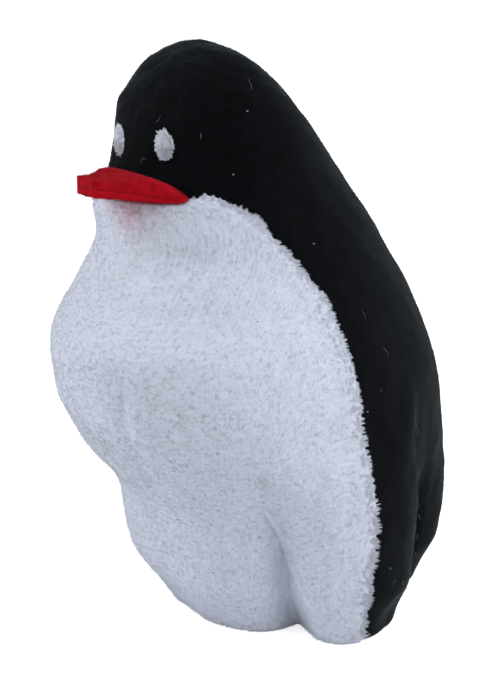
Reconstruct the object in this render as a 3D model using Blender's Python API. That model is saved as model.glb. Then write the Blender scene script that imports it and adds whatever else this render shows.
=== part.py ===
"""Plush finger puppet of a bird that stands on its open hem.

The body is a sewn velour shell: a white front panel and two black back panels that meet in a seam
over the head and down the back. Two layers of felt make the beak, two embroidered patches the eyes,
and a wad of fibrefill keeps the head round above the hollow for the finger.
"""
import math

import bpy
import bmesh
import numpy as np

MM = 0.001

# Heights in millimetres, each from the one below it, starting at the edge of the hem
WAIST_HEIGHT = 27.0
BELLY_ABOVE_WAIST = 19.0
THROAT_ABOVE_BELLY = 15.0
MOUTH_ABOVE_THROAT = 8.4
EYE_ABOVE_MOUTH = 6.4
TOP_ABOVE_MOUTH = 18.6
FILLING_BELOW_MOUTH = 5.4

# Reach of the body from its axis at each height: to the front, to the back and to each side
HEM_REACH = (18.5, 17.0, 21.5)
SKIRT_REACH = (24.3, 22.9, 22.9)
LOIN_REACH = (26.5, 23.5, 24.0)
WAIST_REACH = (32.2, 22.9, 24.8)
RIB_REACH = (38.7, 22.0, 24.2)
BELLY_REACH = (40.3, 18.9, 22.3)
CHEST_REACH = (35.4, 14.1, 19.8)
THROAT_REACH = (32.0, 9.3, 17.8)
CHEEK_REACH = (32.3, 4.8, 16.4)
BROW_REACH = (30.2, 0.1, 15.2)
TEMPLE_REACH = (28.0, -4.4, 13.2)
CROWN_REACH = (25.4, -8.6, 10.4)
CAP_REACH = (22.0, -13.0, 6.6)
TOP_FORWARD = 17.4
ROUNDNESS = 2.2

# Pleats of the hem: angle from the front in degrees, and how far the cloth stands out there
PLEATS = (
    (0, 0.0), (22, 0.6), (38, -1.6), (49, -4.2), (57, 0.6), (66, 3.0), (78, 3.6),
    (90, 2.6), (103, -0.4), (113, -4.8), (122, -5.6), (133, -2.4), (150, 1.2), (180, 0.6),
)
PLEAT_FULL_BELOW = 8.0
PLEAT_GONE_ABOVE = 36.0

# Angle of the seam between white and black, in degrees from the front, from the hem to the mouth
HEM_SEAM_ANGLE = 73.0
SKIRT_SEAM_ANGLE = 76.0
LOIN_SEAM_ANGLE = 79.5
WAIST_SEAM_ANGLE = 84.5
RIB_SEAM_ANGLE = 89.0
BELLY_SEAM_ANGLE = 90.5
CHEST_SEAM_ANGLE = 87.0
SHOULDER_SEAM_ANGLE = 80.0
THROAT_SEAM_ANGLE = 74.0
CHEEK_SEAM_ANGLES = (68.0, 61.0, 53.0)
MOUTH_CORNER_ANGLE = 40.0

# Cloth
VELOUR_THICKNESS = 2.0
HEM_THICKNESS = 3.6
HEM_DEPTH = 8.0
HEM_EDGE_ROUNDING = 1.2
HEM_STEP = 0.6
SEAM_GAP = 0.3

# Beak
FELT_THICKNESS = 1.15
BEAK_LENGTH = 6.6
BEAK_TIP_HALF_WIDTH = 2.5
BEAK_RISE_ANGLE = 11.0
BEAK_SIDE_CURVE = 1.6
BEAK_TIP_ROUNDING = 0.12
BEAK_CORNER_DROOP = 1.0
BEAK_CORNER_THICKNESS = 0.6
TONGUE_HALF_WIDTH = 7.0
TONGUE_DEPTH = 1.8
MOUTH_SQUARENESS = 6.0

# Eyes
LEFT_EYE_ANGLE = 19.5
RIGHT_EYE_ANGLE = -13.5
RIGHT_EYE_LOWER_BY = 0.9
EYE_WIDTH = 3.0
EYE_LENGTH = 4.6
EYE_RIM = 0.3
EYE_CROWN = 0.6

# Room between the filling of the head and the cloth
FILLING_GAP = 0.5

# Number of divisions along each piece
FRONT_COLUMNS = 26
BACK_COLUMNS = 19
FILLING_COLUMNS = 24
FILLING_ROWS = 9
BODY_ROWS = 14
CROWN_ROWS = 11
BEAK_ROWS = 8
EYE_SEGMENTS = 16

# Parts of a station left open below the top, where the crown and the filling close in one face
CROWN_CUT = 0.3
FILLING_CUT = 0.6

# Steps in degrees, stations and millimetres over which the surface's slopes are taken
SMALL_ANGLE = 0.5
SMALL_STEP = 0.02
SMALL_RISE = 0.1


def monotone_curve(points):
    """Smooth curve through (place, value) points that never swings past them."""
    xs = [float(p[0]) for p in points]
    ys = [float(p[1]) for p in points]
    widths = [b - a for a, b in zip(xs, xs[1:])]
    slopes = [(b - a) / w for a, b, w in zip(ys, ys[1:], widths)]
    tangents = [slopes[0]]
    for before, after, w0, w1 in zip(slopes, slopes[1:], widths, widths[1:]):
        if before * after <= 0:
            tangents.append(0.0)
            continue
        heavy, light = 2 * w1 + w0, w1 + 2 * w0
        tangents.append((heavy + light) / (heavy / before + light / after))
    tangents.append(slopes[-1])

    def value(x):
        x = min(max(x, xs[0]), xs[-1])
        i = min(int(np.searchsorted(xs, x, side="right")) - 1, len(widths) - 1)
        u = (x - xs[i]) / widths[i]
        rise = ys[i + 1] - ys[i]
        start, end = tangents[i] * widths[i], tangents[i + 1] * widths[i]
        return ys[i] + u * (start + u * (3 * rise - 2 * start - end + u * (start + end - 2 * rise)))

    return value


def share(low, high, part):
    """The height that lies the given part of the way from low to high."""
    return low + (high - low) * part


BELLY_HEIGHT = WAIST_HEIGHT + BELLY_ABOVE_WAIST
THROAT_HEIGHT = BELLY_HEIGHT + THROAT_ABOVE_BELLY
MOUTH_HEIGHT = THROAT_HEIGHT + MOUTH_ABOVE_THROAT
EYE_HEIGHT = MOUTH_HEIGHT + EYE_ABOVE_MOUTH
TOP_HEIGHT = MOUTH_HEIGHT + TOP_ABOVE_MOUTH
SKIRT_HEIGHT = share(0.0, WAIST_HEIGHT, 1 / 3)
LOIN_HEIGHT = share(0.0, WAIST_HEIGHT, 2 / 3)
RIB_HEIGHT = share(WAIST_HEIGHT, BELLY_HEIGHT, 0.52)
CHEST_HEIGHT = share(BELLY_HEIGHT, THROAT_HEIGHT, 0.53)

# Height and reach of the outer surface from the hem to the top
STATIONS = (
    (0.0, HEM_REACH),
    (SKIRT_HEIGHT, SKIRT_REACH),
    (LOIN_HEIGHT, LOIN_REACH),
    (WAIST_HEIGHT, WAIST_REACH),
    (RIB_HEIGHT, RIB_REACH),
    (BELLY_HEIGHT, BELLY_REACH),
    (CHEST_HEIGHT, CHEST_REACH),
    (THROAT_HEIGHT, THROAT_REACH),
    (share(THROAT_HEIGHT, MOUTH_HEIGHT, 0.71), CHEEK_REACH),
    (share(MOUTH_HEIGHT, TOP_HEIGHT, 0.19), BROW_REACH),
    (share(MOUTH_HEIGHT, TOP_HEIGHT, 0.49), TEMPLE_REACH),
    (share(MOUTH_HEIGHT, TOP_HEIGHT, 0.73), CROWN_REACH),
    (share(MOUTH_HEIGHT, TOP_HEIGHT, 0.914), CAP_REACH),
    (TOP_HEIGHT, (TOP_FORWARD, -TOP_FORWARD, 0.0)),
)

# Height and angle of the side seam from the hem to the corner of the mouth
SIDE_SEAM = (
    (0.0, HEM_SEAM_ANGLE),
    (SKIRT_HEIGHT, SKIRT_SEAM_ANGLE),
    (LOIN_HEIGHT, LOIN_SEAM_ANGLE),
    (WAIST_HEIGHT, WAIST_SEAM_ANGLE),
    (RIB_HEIGHT, RIB_SEAM_ANGLE),
    (BELLY_HEIGHT, BELLY_SEAM_ANGLE),
    (share(BELLY_HEIGHT, THROAT_HEIGHT, 0.47), CHEST_SEAM_ANGLE),
    (share(BELLY_HEIGHT, THROAT_HEIGHT, 0.77), SHOULDER_SEAM_ANGLE),
    (THROAT_HEIGHT, THROAT_SEAM_ANGLE),
    (share(THROAT_HEIGHT, MOUTH_HEIGHT, 0.42), CHEEK_SEAM_ANGLES[0]),
    (share(THROAT_HEIGHT, MOUTH_HEIGHT, 0.71), CHEEK_SEAM_ANGLES[1]),
    (share(THROAT_HEIGHT, MOUTH_HEIGHT, 0.90), CHEEK_SEAM_ANGLES[2]),
    (MOUTH_HEIGHT, MOUTH_CORNER_ANGLE),
)
LAST_STATION = len(STATIONS) - 1

height_at = monotone_curve([(i, height) for i, (height, _) in enumerate(STATIONS)])
front_at = monotone_curve([(i, reach[0]) for i, (_, reach) in enumerate(STATIONS)])
back_at = monotone_curve([(i, reach[1]) for i, (_, reach) in enumerate(STATIONS)])
side_at = monotone_curve([(i, reach[2]) for i, (_, reach) in enumerate(STATIONS)])
pleat_at = monotone_curve(PLEATS)
seam_angle_at = monotone_curve(SIDE_SEAM)


def station_of(height):
    """The place along the stations where the body has this height."""
    low, high = 0.0, float(LAST_STATION)
    for _ in range(40):
        middle = (low + high) / 2
        if height_at(middle) < height:
            low = middle
        else:
            high = middle
    return (low + high) / 2


def pleat_share(height):
    """How much of the hem's pleats is left at this height, from 1 to 0."""
    u = (height - PLEAT_FULL_BELOW) / (PLEAT_GONE_ABOVE - PLEAT_FULL_BELOW)
    u = min(max(u, 0.0), 1.0)
    return 1 - u * u * (3 - 2 * u)


def skin(station, angle):
    """Point of the outer surface, the angle in degrees from the front towards +X."""
    front, back, side = front_at(station), back_at(station), side_at(station)
    turn = math.radians(angle)
    s, c = math.sin(turn), math.cos(turn)
    bend = 2 / ROUNDNESS
    middle, half = (back - front) / 2, (back + front) / 2
    x = side * math.copysign(abs(s) ** bend, s)
    y = middle - half * math.copysign(abs(c) ** bend, c)
    height = height_at(station)
    around = abs((angle + 180) % 360 - 180)
    push = pleat_share(height) * pleat_at(around)
    return np.array([x + s * push, y - c * push, height])


def skin_normal(station, angle):
    """Outward unit normal of the outer surface."""
    low = skin(max(station - SMALL_STEP, 0.0), angle)
    high = skin(min(station + SMALL_STEP, LAST_STATION - SMALL_STEP), angle)
    around = skin(station, angle + SMALL_ANGLE) - skin(station, angle - SMALL_ANGLE)
    normal = np.cross(around, high - low)
    return normal / np.linalg.norm(normal)


def arc_per_degree(station, angle):
    """Millimetres that the surface runs for one degree of angle."""
    step = skin(station, angle + SMALL_ANGLE) - skin(station, angle - SMALL_ANGLE)
    return float(np.linalg.norm(step)) / (2 * SMALL_ANGLE)


def face_y(x, height):
    """Y of the front of the face at this x and height."""
    station = station_of(height)
    low, high = 0.0, 90.0
    for _ in range(30):
        middle = (low + high) / 2
        if skin(station, middle)[0] < abs(x):
            low = middle
        else:
            high = middle
    return float(skin(station, (low + high) / 2)[1])


def material(name, colour, roughness):
    """Principled material of one cloth."""
    made = bpy.data.materials.new(name)
    made.use_nodes = True
    shader = made.node_tree.nodes["Principled BSDF"]
    shader.inputs["Base Color"].default_value = (*colour, 1.0)
    shader.inputs["Roughness"].default_value = roughness
    shader.inputs["Metallic"].default_value = 0.0
    return made


def add_object(name, points, faces, cloth):
    """Closed mesh object from points in millimetres."""
    work = bmesh.new()
    corners = [work.verts.new(tuple(float(v) * MM for v in point)) for point in points]
    for face in faces:
        work.faces.new([corners[i] for i in face])
    bmesh.ops.recalc_face_normals(work, faces=work.faces[:])
    mesh = bpy.data.meshes.new(name)
    work.to_mesh(mesh)
    work.free()
    mesh.materials.append(cloth)
    mesh.shade_smooth()
    mesh.set_sharp_from_angle(angle=math.radians(40))
    made = bpy.data.objects.new(name, mesh)
    bpy.context.scene.collection.objects.link(made)
    return made


def cloth_depths(height):
    """How far the outer and the inner face of the cloth lie inside the outer surface."""
    if height <= 0.0:
        return HEM_EDGE_ROUNDING, HEM_THICKNESS - HEM_EDGE_ROUNDING / 2
    if height < HEM_EDGE_ROUNDING:
        return HEM_EDGE_ROUNDING / 4, HEM_THICKNESS
    if height <= HEM_DEPTH:
        return 0.0, HEM_THICKNESS
    return 0.0, VELOUR_THICKNESS


def row_points(places, height):
    """Outer and inner points of the cloth along one row of (station, angle) places."""
    outer_depth, inner_depth = cloth_depths(height)
    edge_is_level = height <= HEM_DEPTH or abs(height - MOUTH_HEIGHT) < 1.01 * mouth_half_height()
    outer, inner = [], []
    for station, angle in places:
        point = skin(station, angle)
        if edge_is_level:
            turn = math.radians(angle)
            inward = -np.array([math.sin(turn), -math.cos(turn), 0.0])
        else:
            inward = -skin_normal(station, angle)
        outer.append(point + inward * outer_depth)
        inner.append(point + inward * inner_depth)
    return outer, inner


def seam_lean(height):
    """Unit direction of the side seam on the surface, as its run along the ring and its rise."""
    low, high = max(height - SMALL_RISE, 0.0), min(height + SMALL_RISE, MOUTH_HEIGHT)
    station = station_of(height)
    run = (seam_angle_at(high) - seam_angle_at(low)) * arc_per_degree(station, seam_angle_at(height))
    rise = high - low
    length = math.hypot(run, rise)
    return run / length, rise / length


def beside_seam(height, side):
    """Place half a seam gap from the side seam: side 1 on the back's side, -1 on the front's."""
    run, rise = seam_lean(height)
    angle = seam_angle_at(height)
    station = station_of(height)
    gap = side * SEAM_GAP / 2
    place = max(height - run * gap, 0.0) if height > 0.0 else 0.0
    return station_of(place), angle + rise * gap / arc_per_degree(station, angle)


def mouth_half_height():
    """Half the height of the slit that the two felt layers come out of."""
    return FELT_THICKNESS + SEAM_GAP / 2 + SEAM_GAP


def slit_share(angle):
    """How far the mouth's slit stands open at this angle, from 1 in the middle to 0 at its corner."""
    part = min(abs(angle) / MOUTH_CORNER_ANGLE, 1.0)
    return math.sqrt(1 - part ** MOUTH_SQUARENESS)


def front_heights():
    """Heights of the front panel's rows at the side seam."""
    lower = [0.0, HEM_EDGE_ROUNDING / 2, HEM_EDGE_ROUNDING * 1.4, HEM_DEPTH, HEM_DEPTH + HEM_STEP]
    upper = [share(HEM_DEPTH, THROAT_HEIGHT, row / BODY_ROWS) for row in range(1, BODY_ROWS + 1)]
    shoulder = [share(THROAT_HEIGHT, MOUTH_HEIGHT, k) for k in (0.3, 0.55, 0.75, 0.88, 0.95, 1.0)]
    return lower + upper + shoulder


def make_front(cloth):
    """White panel: throat, chest, belly and the front of the hem, seam to seam."""
    rows = []
    slit_starts = share(THROAT_HEIGHT, MOUTH_HEIGHT, 0.2)
    for height in front_heights():
        edge_station, edge_angle = beside_seam(height, -1)
        sink = max(height - slit_starts, 0.0) / (MOUTH_HEIGHT - slit_starts)
        places = []
        for column in range(FRONT_COLUMNS + 1):
            across = 2 * column / FRONT_COLUMNS - 1
            angle = across * edge_angle
            if abs(across) == 1:
                places.append((edge_station, angle))
                continue
            dip = sink * mouth_half_height() * slit_share(across * MOUTH_CORNER_ANGLE)
            places.append((station_of(height - dip), angle))
        rows.append(row_points(places, height))
    points, faces = loft_cloth(rows)
    last = len(rows) - 1
    faces += end_faces(last, FRONT_COLUMNS + 1)
    return add_object("front_panel", points, faces, cloth)


def loft_cloth(rows):
    """Faces between rows of cloth: its two sides, its two edges and its lower end."""
    count = len(rows[0][0])
    points = [point for outer, inner in rows for point in (*outer, *inner)]
    faces = []
    for row in range(len(rows) - 1):
        low, high = row * 2 * count, (row + 1) * 2 * count
        for i in range(count - 1):
            faces.append((low + i, low + i + 1, high + i + 1, high + i))
            faces.append((low + count + i + 1, low + count + i, high + count + i, high + count + i + 1))
        for i in (0, count - 1):
            faces.append((low + i, low + count + i, high + count + i, high + i))
    faces += end_faces(0, count)
    return points, faces


def end_faces(row, count):
    """Faces between the outer and inner points of one row."""
    start = row * 2 * count
    return [(start + i, start + i + 1, start + count + i + 1, start + count + i) for i in range(count - 1)]


def back_rows():
    """Rows of a back panel: height, station and angle of its front edge."""
    rows = [(height, *beside_seam(height, 1)) for height in front_heights()[:-1]]
    for part in (0.25, 0.6, 0.85, 0.97):
        height = MOUTH_HEIGHT + part * mouth_half_height()
        angle = MOUTH_CORNER_ANGLE * (1 - part ** 2) ** (1 / MOUTH_SQUARENESS)
        rows.append((height, station_of(height), angle))
    first = station_of(MOUTH_HEIGHT + mouth_half_height())
    for row in range(CROWN_ROWS + 1):
        station = share(first, LAST_STATION - CROWN_CUT, row / CROWN_ROWS)
        rows.append((height_at(station), station, 0.0))
    return rows


def make_back(name, side, cloth):
    """Black panel of one side: half the head, the shoulder and half the back down to the hem."""
    rows = []
    for height, station, angle in back_rows():
        row_station = station_of(height)
        places = [(station, angle)]
        for column in range(1, BACK_COLUMNS + 1):
            places.append((row_station, share(angle, 180.0, column / BACK_COLUMNS)))
        outer, inner = row_points(places, height)
        for line in (outer, inner):
            line[-1][0] = SEAM_GAP / 2
            if angle == 0.0:
                line[0][0] = SEAM_GAP / 2
        rows.append((outer, inner))
    points, faces = loft_cloth(rows)
    count = BACK_COLUMNS + 1
    outer_top = list(range(len(points) - 2 * count, len(points) - count))
    inner_top = list(range(len(points) - count, len(points)))
    crown = len(points)
    points.append(np.array([SEAM_GAP / 2, -TOP_FORWARD, TOP_HEIGHT]))
    faces += [(outer_top[i], outer_top[i + 1], crown) for i in range(count - 1)]
    faces.append((outer_top[0], crown, outer_top[-1], inner_top[-1], inner_top[0]))
    faces.append(tuple(inner_top))
    placed = [point * np.array([side, 1.0, 1.0]) for point in points]
    return add_object(name, placed, faces, cloth)


def beak_half_width(forward):
    """Half width of the beak, from its base at 0 to its tip at 1."""
    base = float(skin(station_of(MOUTH_HEIGHT), MOUTH_CORNER_ANGLE)[0])
    narrow = BEAK_TIP_HALF_WIDTH + (base - BEAK_TIP_HALF_WIDTH) * (1 - forward) ** BEAK_SIDE_CURVE
    over = max(forward - 1 + BEAK_TIP_ROUNDING, 0.0) / BEAK_TIP_ROUNDING
    return narrow * (1 - 0.3 * over ** 2)


def beak_droop(u, forward):
    """How far the beak's corners hang, across from -1 to 1 and forward from the base to the tip."""
    return BEAK_CORNER_DROOP * abs(u) ** 4 * (1 - forward) ** 2


def make_beak(name, side, cloth):
    """One felt layer of the beak: side 1 lies above the mouth's middle, side -1 below it."""
    across = [-1.0, -0.85, -TONGUE_HALF_WIDTH / beak_half_width(0.0)]
    across += [-0.45, -0.2, 0.0]
    across += [-value for value in reversed(across[:-1])]
    tongue = range(2, len(across) - 3)
    front = face_y(0.0, MOUTH_HEIGHT)
    rise = math.tan(math.radians(BEAK_RISE_ANGLE))
    nodes = []
    for row in range(-1, BEAK_ROWS + 1):
        forward = max(row, 0) / BEAK_ROWS
        half_width = beak_half_width(forward)
        line = []
        for u in across:
            thickness = share(FELT_THICKNESS, BEAK_CORNER_THICKNESS, abs(u) ** 4 * (1 - forward) ** 2)
            near, far = SEAM_GAP / 2, SEAM_GAP / 2 + thickness
            for level in sorted((side * near, side * far)):
                height = MOUTH_HEIGHT + level - beak_droop(u, forward)
                base_y = face_y(u * beak_half_width(0.0), height) - SEAM_GAP
                y = share(base_y, front - BEAK_LENGTH, forward)
                if row < 0:
                    y += SEAM_GAP + TONGUE_DEPTH
                lift = rise * max(front - y, 0.0)
                line.append(np.array([u * half_width, y, height + lift]))
        nodes.append(line)
    points = [point for line in nodes for point in line]
    width = len(across)
    cells = [(row, i) for row in range(1, BEAK_ROWS + 1) for i in range(width - 1)]
    cells += [(0, i) for i in tongue]
    return add_object(name, *slab(points, cells, width), cloth)


def slab(points, cells, width):
    """Closed slab over the cells of a grid whose nodes each hold a lower and an upper point."""
    def node(row, column, upper):
        return 2 * (row * width + column) + upper

    faces, edges = [], {}
    for row, column in cells:
        corners = ((row, column), (row, column + 1), (row + 1, column + 1), (row + 1, column))
        faces.append(tuple(node(*corner, 1) for corner in corners))
        faces.append(tuple(node(*corner, 0) for corner in reversed(corners)))
        for start, end in zip(corners, corners[1:] + corners[:1]):
            if (end, start) in edges:
                del edges[(end, start)]
            else:
                edges[(start, end)] = True
    for start, end in edges:
        faces.append((node(*start, 0), node(*end, 0), node(*end, 1), node(*start, 1)))
    used = sorted({i for face in faces for i in face})
    renumbered = {old: new for new, old in enumerate(used)}
    return [points[i] for i in used], [tuple(renumbered[i] for i in face) for face in faces]


def make_eye(name, eye_angle, eye_height, cloth):
    """Embroidered oval that lies on the face and swells in the middle."""
    per_degree = arc_per_degree(station_of(eye_height), eye_angle)
    points, faces = [], []
    rings = (1.0, 0.7, 0.35)
    for upper in (0, 1):
        for ring in rings:
            for segment in range(EYE_SEGMENTS):
                turn = 2 * math.pi * segment / EYE_SEGMENTS
                angle = eye_angle + ring * math.cos(turn) * EYE_WIDTH / 2 / per_degree
                height = eye_height + ring * math.sin(turn) * EYE_LENGTH / 2
                points.append(eye_point(angle, height, ring, upper))
        points.append(eye_point(eye_angle, eye_height, 0.0, upper))
    side_count = len(rings) * EYE_SEGMENTS + 1
    for upper in (0, 1):
        start = upper * side_count
        for ring in range(len(rings) - 1):
            low, high = start + ring * EYE_SEGMENTS, start + (ring + 1) * EYE_SEGMENTS
            for i in range(EYE_SEGMENTS):
                j = (i + 1) % EYE_SEGMENTS
                faces.append((low + i, low + j, high + j, high + i))
        last = start + (len(rings) - 1) * EYE_SEGMENTS
        centre = start + side_count - 1
        faces += [(last + i, last + (i + 1) % EYE_SEGMENTS, centre) for i in range(EYE_SEGMENTS)]
    for i in range(EYE_SEGMENTS):
        j = (i + 1) % EYE_SEGMENTS
        faces.append((i, j, side_count + j, side_count + i))
    return add_object(name, points, faces, cloth)


def eye_point(angle, height, ring, upper):
    """Point of the eye's underside or of its rounded top."""
    station = station_of(height)
    lift = SEAM_GAP
    if upper:
        lift += EYE_RIM + EYE_CROWN * (1 - ring ** 2)
    return skin(station, angle) + skin_normal(station, angle) * lift


def make_filling(cloth):
    """Wad of fibrefill that fills the head inside the velour."""
    depth = VELOUR_THICKNESS + FILLING_GAP
    first, last = station_of(MOUTH_HEIGHT - FILLING_BELOW_MOUTH), LAST_STATION - FILLING_CUT
    points, faces = [], []
    for row in range(FILLING_ROWS + 1):
        station = share(first, last, row / FILLING_ROWS)
        for column in range(FILLING_COLUMNS):
            angle = 360 * column / FILLING_COLUMNS
            points.append(skin(station, angle) - skin_normal(station, angle) * depth)
    for row in range(FILLING_ROWS):
        low, high = row * FILLING_COLUMNS, (row + 1) * FILLING_COLUMNS
        for i in range(FILLING_COLUMNS):
            j = (i + 1) % FILLING_COLUMNS
            faces.append((low + i, low + j, high + j, high + i))
    bottom = tuple(range(FILLING_COLUMNS))
    top = tuple(FILLING_ROWS * FILLING_COLUMNS + i for i in range(FILLING_COLUMNS))
    faces += [bottom, top]
    return add_object("head_filling", points, faces, cloth)


def centre_over_base(pieces):
    """Move the pieces so that the middle of the whole outline stands on the origin."""
    ys = [corner.co.y for piece in pieces for corner in piece.data.vertices]
    middle = (min(ys) + max(ys)) / 2
    for piece in pieces:
        for corner in piece.data.vertices:
            corner.co.y -= middle
        piece.data.update()


def main():
    for old in list(bpy.data.objects):
        bpy.data.objects.remove(old, do_unlink=True)
    white_velour = material("white_velour", (0.62, 0.65, 0.76), 0.95)
    black_velour = material("black_velour", (0.008, 0.008, 0.010), 0.95)
    red_felt = material("red_felt", (0.42, 0.012, 0.025), 0.95)
    white_thread = material("white_thread", (0.55, 0.56, 0.68), 0.8)
    fibrefill = material("fibrefill", (0.8, 0.8, 0.78), 1.0)
    pieces = [
        make_front(white_velour),
        make_back("back_panel_left", 1, black_velour),
        make_back("back_panel_right", -1, black_velour),
        make_beak("upper_beak", 1, red_felt),
        make_beak("lower_beak", -1, red_felt),
        make_eye("eye_left", LEFT_EYE_ANGLE, EYE_HEIGHT, white_thread),
        make_eye("eye_right", RIGHT_EYE_ANGLE, EYE_HEIGHT - RIGHT_EYE_LOWER_BY, white_thread),
        make_filling(fibrefill),
    ]
    centre_over_base(pieces)


main()
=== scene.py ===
"""Looks of a plush finger puppet, a plain black and white bird that stands on its open hem.

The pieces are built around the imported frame: velour panels with their pile, felt beak, sewn eyes,
the filling of the head, stray lint and the stage with its lamps and camera.
"""

import math

import bpy
import numpy as np
from bpy.props import FloatProperty, FloatVectorProperty, PointerProperty
from bpy.types import Operator, Panel, PropertyGroup
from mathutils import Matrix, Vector


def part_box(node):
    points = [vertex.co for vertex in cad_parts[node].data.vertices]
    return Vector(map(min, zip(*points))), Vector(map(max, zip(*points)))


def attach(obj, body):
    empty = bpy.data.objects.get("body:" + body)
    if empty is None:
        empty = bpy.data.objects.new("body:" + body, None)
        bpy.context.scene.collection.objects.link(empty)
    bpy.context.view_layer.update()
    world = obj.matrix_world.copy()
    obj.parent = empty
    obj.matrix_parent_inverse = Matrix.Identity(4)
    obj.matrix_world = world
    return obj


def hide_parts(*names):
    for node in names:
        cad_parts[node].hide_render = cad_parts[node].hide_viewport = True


bl_info = {
    "name": "Plush finger puppet",
    "version": (1, 0, 0),
    "blender": (4, 5, 0),
    "location": "View3D > Sidebar > Puppet",
    "description": "Builds the cloth, pile, beak, eyes and stage of a plush finger puppet",
    "category": "Add Mesh",
}

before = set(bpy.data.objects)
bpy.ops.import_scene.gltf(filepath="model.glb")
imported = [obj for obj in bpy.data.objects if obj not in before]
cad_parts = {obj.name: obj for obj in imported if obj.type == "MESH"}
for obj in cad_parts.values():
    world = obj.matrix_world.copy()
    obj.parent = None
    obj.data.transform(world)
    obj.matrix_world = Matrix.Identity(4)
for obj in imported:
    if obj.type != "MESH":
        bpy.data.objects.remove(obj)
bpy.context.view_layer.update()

MM = 0.001

# Heights in millimetres from the edge of the hem, as in the frame's solids
WAIST = 27.0
BELLY = 46.0
THROAT = 61.0
MOUTH = 69.4
EYES = 75.8
TOP = 88.0


def share(low, high, part):
    """The value that lies the given part of the way from low to high."""
    return low + (high - low) * part


# Height and reach of the body from its axis: to the front, to the back and to each side
STATIONS = (
    (0.0, 18.5, 17.0, 21.5),
    (share(0.0, WAIST, 1 / 3), 24.3, 22.9, 22.9),
    (share(0.0, WAIST, 2 / 3), 26.5, 23.5, 24.0),
    (WAIST, 32.2, 22.9, 24.8),
    (share(WAIST, BELLY, 0.52), 38.7, 22.0, 24.2),
    (BELLY, 40.3, 18.9, 22.3),
    (share(BELLY, THROAT, 0.53), 35.4, 14.1, 19.8),
    (THROAT, 32.0, 9.3, 17.8),
    (share(THROAT, MOUTH, 0.71), 32.3, 4.8, 16.4),
    (share(MOUTH, TOP, 0.19), 30.2, 0.1, 15.2),
    (share(MOUTH, TOP, 0.49), 28.0, -4.4, 13.2),
    (share(MOUTH, TOP, 0.73), 25.4, -8.6, 10.4),
    (share(MOUTH, TOP, 0.914), 22.0, -13.0, 6.6),
    (TOP, 17.4, -17.4, 0.0),
)
ROUNDNESS = 2.2

# Pleats of the hem: angle from the front in degrees, and how far the cloth stands out there
PLEATS = (
    (0, 0.0), (22, 0.6), (38, -1.6), (49, -4.2), (57, 0.6), (66, 3.0), (78, 3.6),
    (90, 2.6), (103, -0.4), (113, -4.8), (122, -5.6), (133, -2.4), (150, 1.2), (180, 0.6),
)
PLEAT_FULL_BELOW = 8.0
PLEAT_GONE_ABOVE = 36.0

# Height and angle of the seam between white and black, from the hem to the corner of the mouth
MOUTH_CORNER = 40.0
SIDE_SEAM = (
    (0.0, 73.0),
    (share(0.0, WAIST, 1 / 3), 76.0),
    (share(0.0, WAIST, 2 / 3), 79.5),
    (WAIST, 84.5),
    (share(WAIST, BELLY, 0.52), 89.0),
    (BELLY, 90.5),
    (share(BELLY, THROAT, 0.47), 87.0),
    (share(BELLY, THROAT, 0.77), 80.0),
    (THROAT, 74.0),
    (share(THROAT, MOUTH, 0.42), 68.0),
    (share(THROAT, MOUTH, 0.71), 61.0),
    (share(THROAT, MOUTH, 0.90), 53.0),
    (MOUTH, MOUTH_CORNER),
)

# Cloth, beak and eyes, in millimetres and degrees
CLOTH = 2.0
HEM_THICK = 3.6
HEM_DEPTH = 8.0
HEM_ROUNDING = 0.9
SEAM_GAP = 0.3
FELT = 1.15
BEAK_LENGTH = 6.6
BEAK_TIP = 2.5
BEAK_RISE = 7.0
BEAK_SIDE_CURVE = 1.6
BEAK_TIP_ROUNDING = 0.12
BEAK_CORNER_DROOP = 1.0
BEAK_CORNER_FELT = 0.12
MOUTH_HALF = FELT + SEAM_GAP / 2 + SEAM_GAP
MOUTH_SQUARENESS = 3.0
EYE_LEFT = (18.6, EYES - 0.35)
EYE_RIGHT = (-14.6, EYES - 1.0)
# Width, height, and degrees that the eye leans to its right for each millimetre upwards
EYE_SIZES = {"left": (3.3, 4.1, 0.85), "right": (3.1, 3.9, 2.2)}
# Painted shade on the throat under the beak, tinted with the beak's red
PAINTED_SHADE_ANGLE = 4.0
PAINTED_SHADE_HEIGHT = 66.8
PAINTED_SHADE_TINT = "#C95A66"

# The grids of the cloths: spacing of their points, and a panel's widest reach round the body
FRONT_STEP = 0.29
FRONT_REACH = 76.0
BACK_STEP = 0.6
BACK_REACH = 70.0
# The black panels' edge by the side seam and round the mouth: its columns and its width in degrees
LIP_COLUMNS = 40
LIP_ANGLE = 3.5
# The black panels pass the middle by this much where they are sewn together
SEAM_LAP = -0.02

# Lattices of the locks of hair on the white cloth: width, height, jitter and seed
SMALL_LOCKS = (0.5, 0.75, 0.7, 17.0)
TALL_LOCKS = (0.75, 2.4, 0.6, 18.0)
# Swells of the white cloth and of the lap of its edge: width, height and seed
WHITE_SWELLS = ((3.1, 0.12, 3), (7.5, 0.2, 4))
LAP_SWELLS = ((2.6, 0.3, 9), (0.9, 0.2, 10))
# Hairs in each of the white pile's two pieces, on each black panel and on each layer of the beak
WHITE_HAIRS = 37500
BLACK_HAIRS = 21000
FELT_HAIRS = 2400
# Locks of an eye, spacing of the locks in the fringe of a side seam, and the hairs of a lock
EYE_LOCKS = 240
FRINGE_SPACING = 0.1
LOCK_HAIRS = 12

# Lines down the sewn cloth, as heights and the angles there: the edge of the side lobe, the groove
# behind the lobe, and a crease of the belly
LOBE_EDGE = ((0.0, 2.0, 8.0, 13.0, 18.0, 22.0, 30.0), (56.0, 55.5, 55.0, 50.5, 47.0, 45.5, 45.5))
GROOVE = ((10.0, 22.0, 36.0), (102.5, 106.0, 112.5))
CREASE = ((20.0, 24.0, 33.0, 42.0, 50.0), (1.0, -3.0, -8.0, -13.0, -16.0))
# Each crease's side, shift in degrees and depth
CREASES = ((1, 0.0, 0.45), (1, -9.0, 0.3), (-1, 4.0, 0.4))
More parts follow.
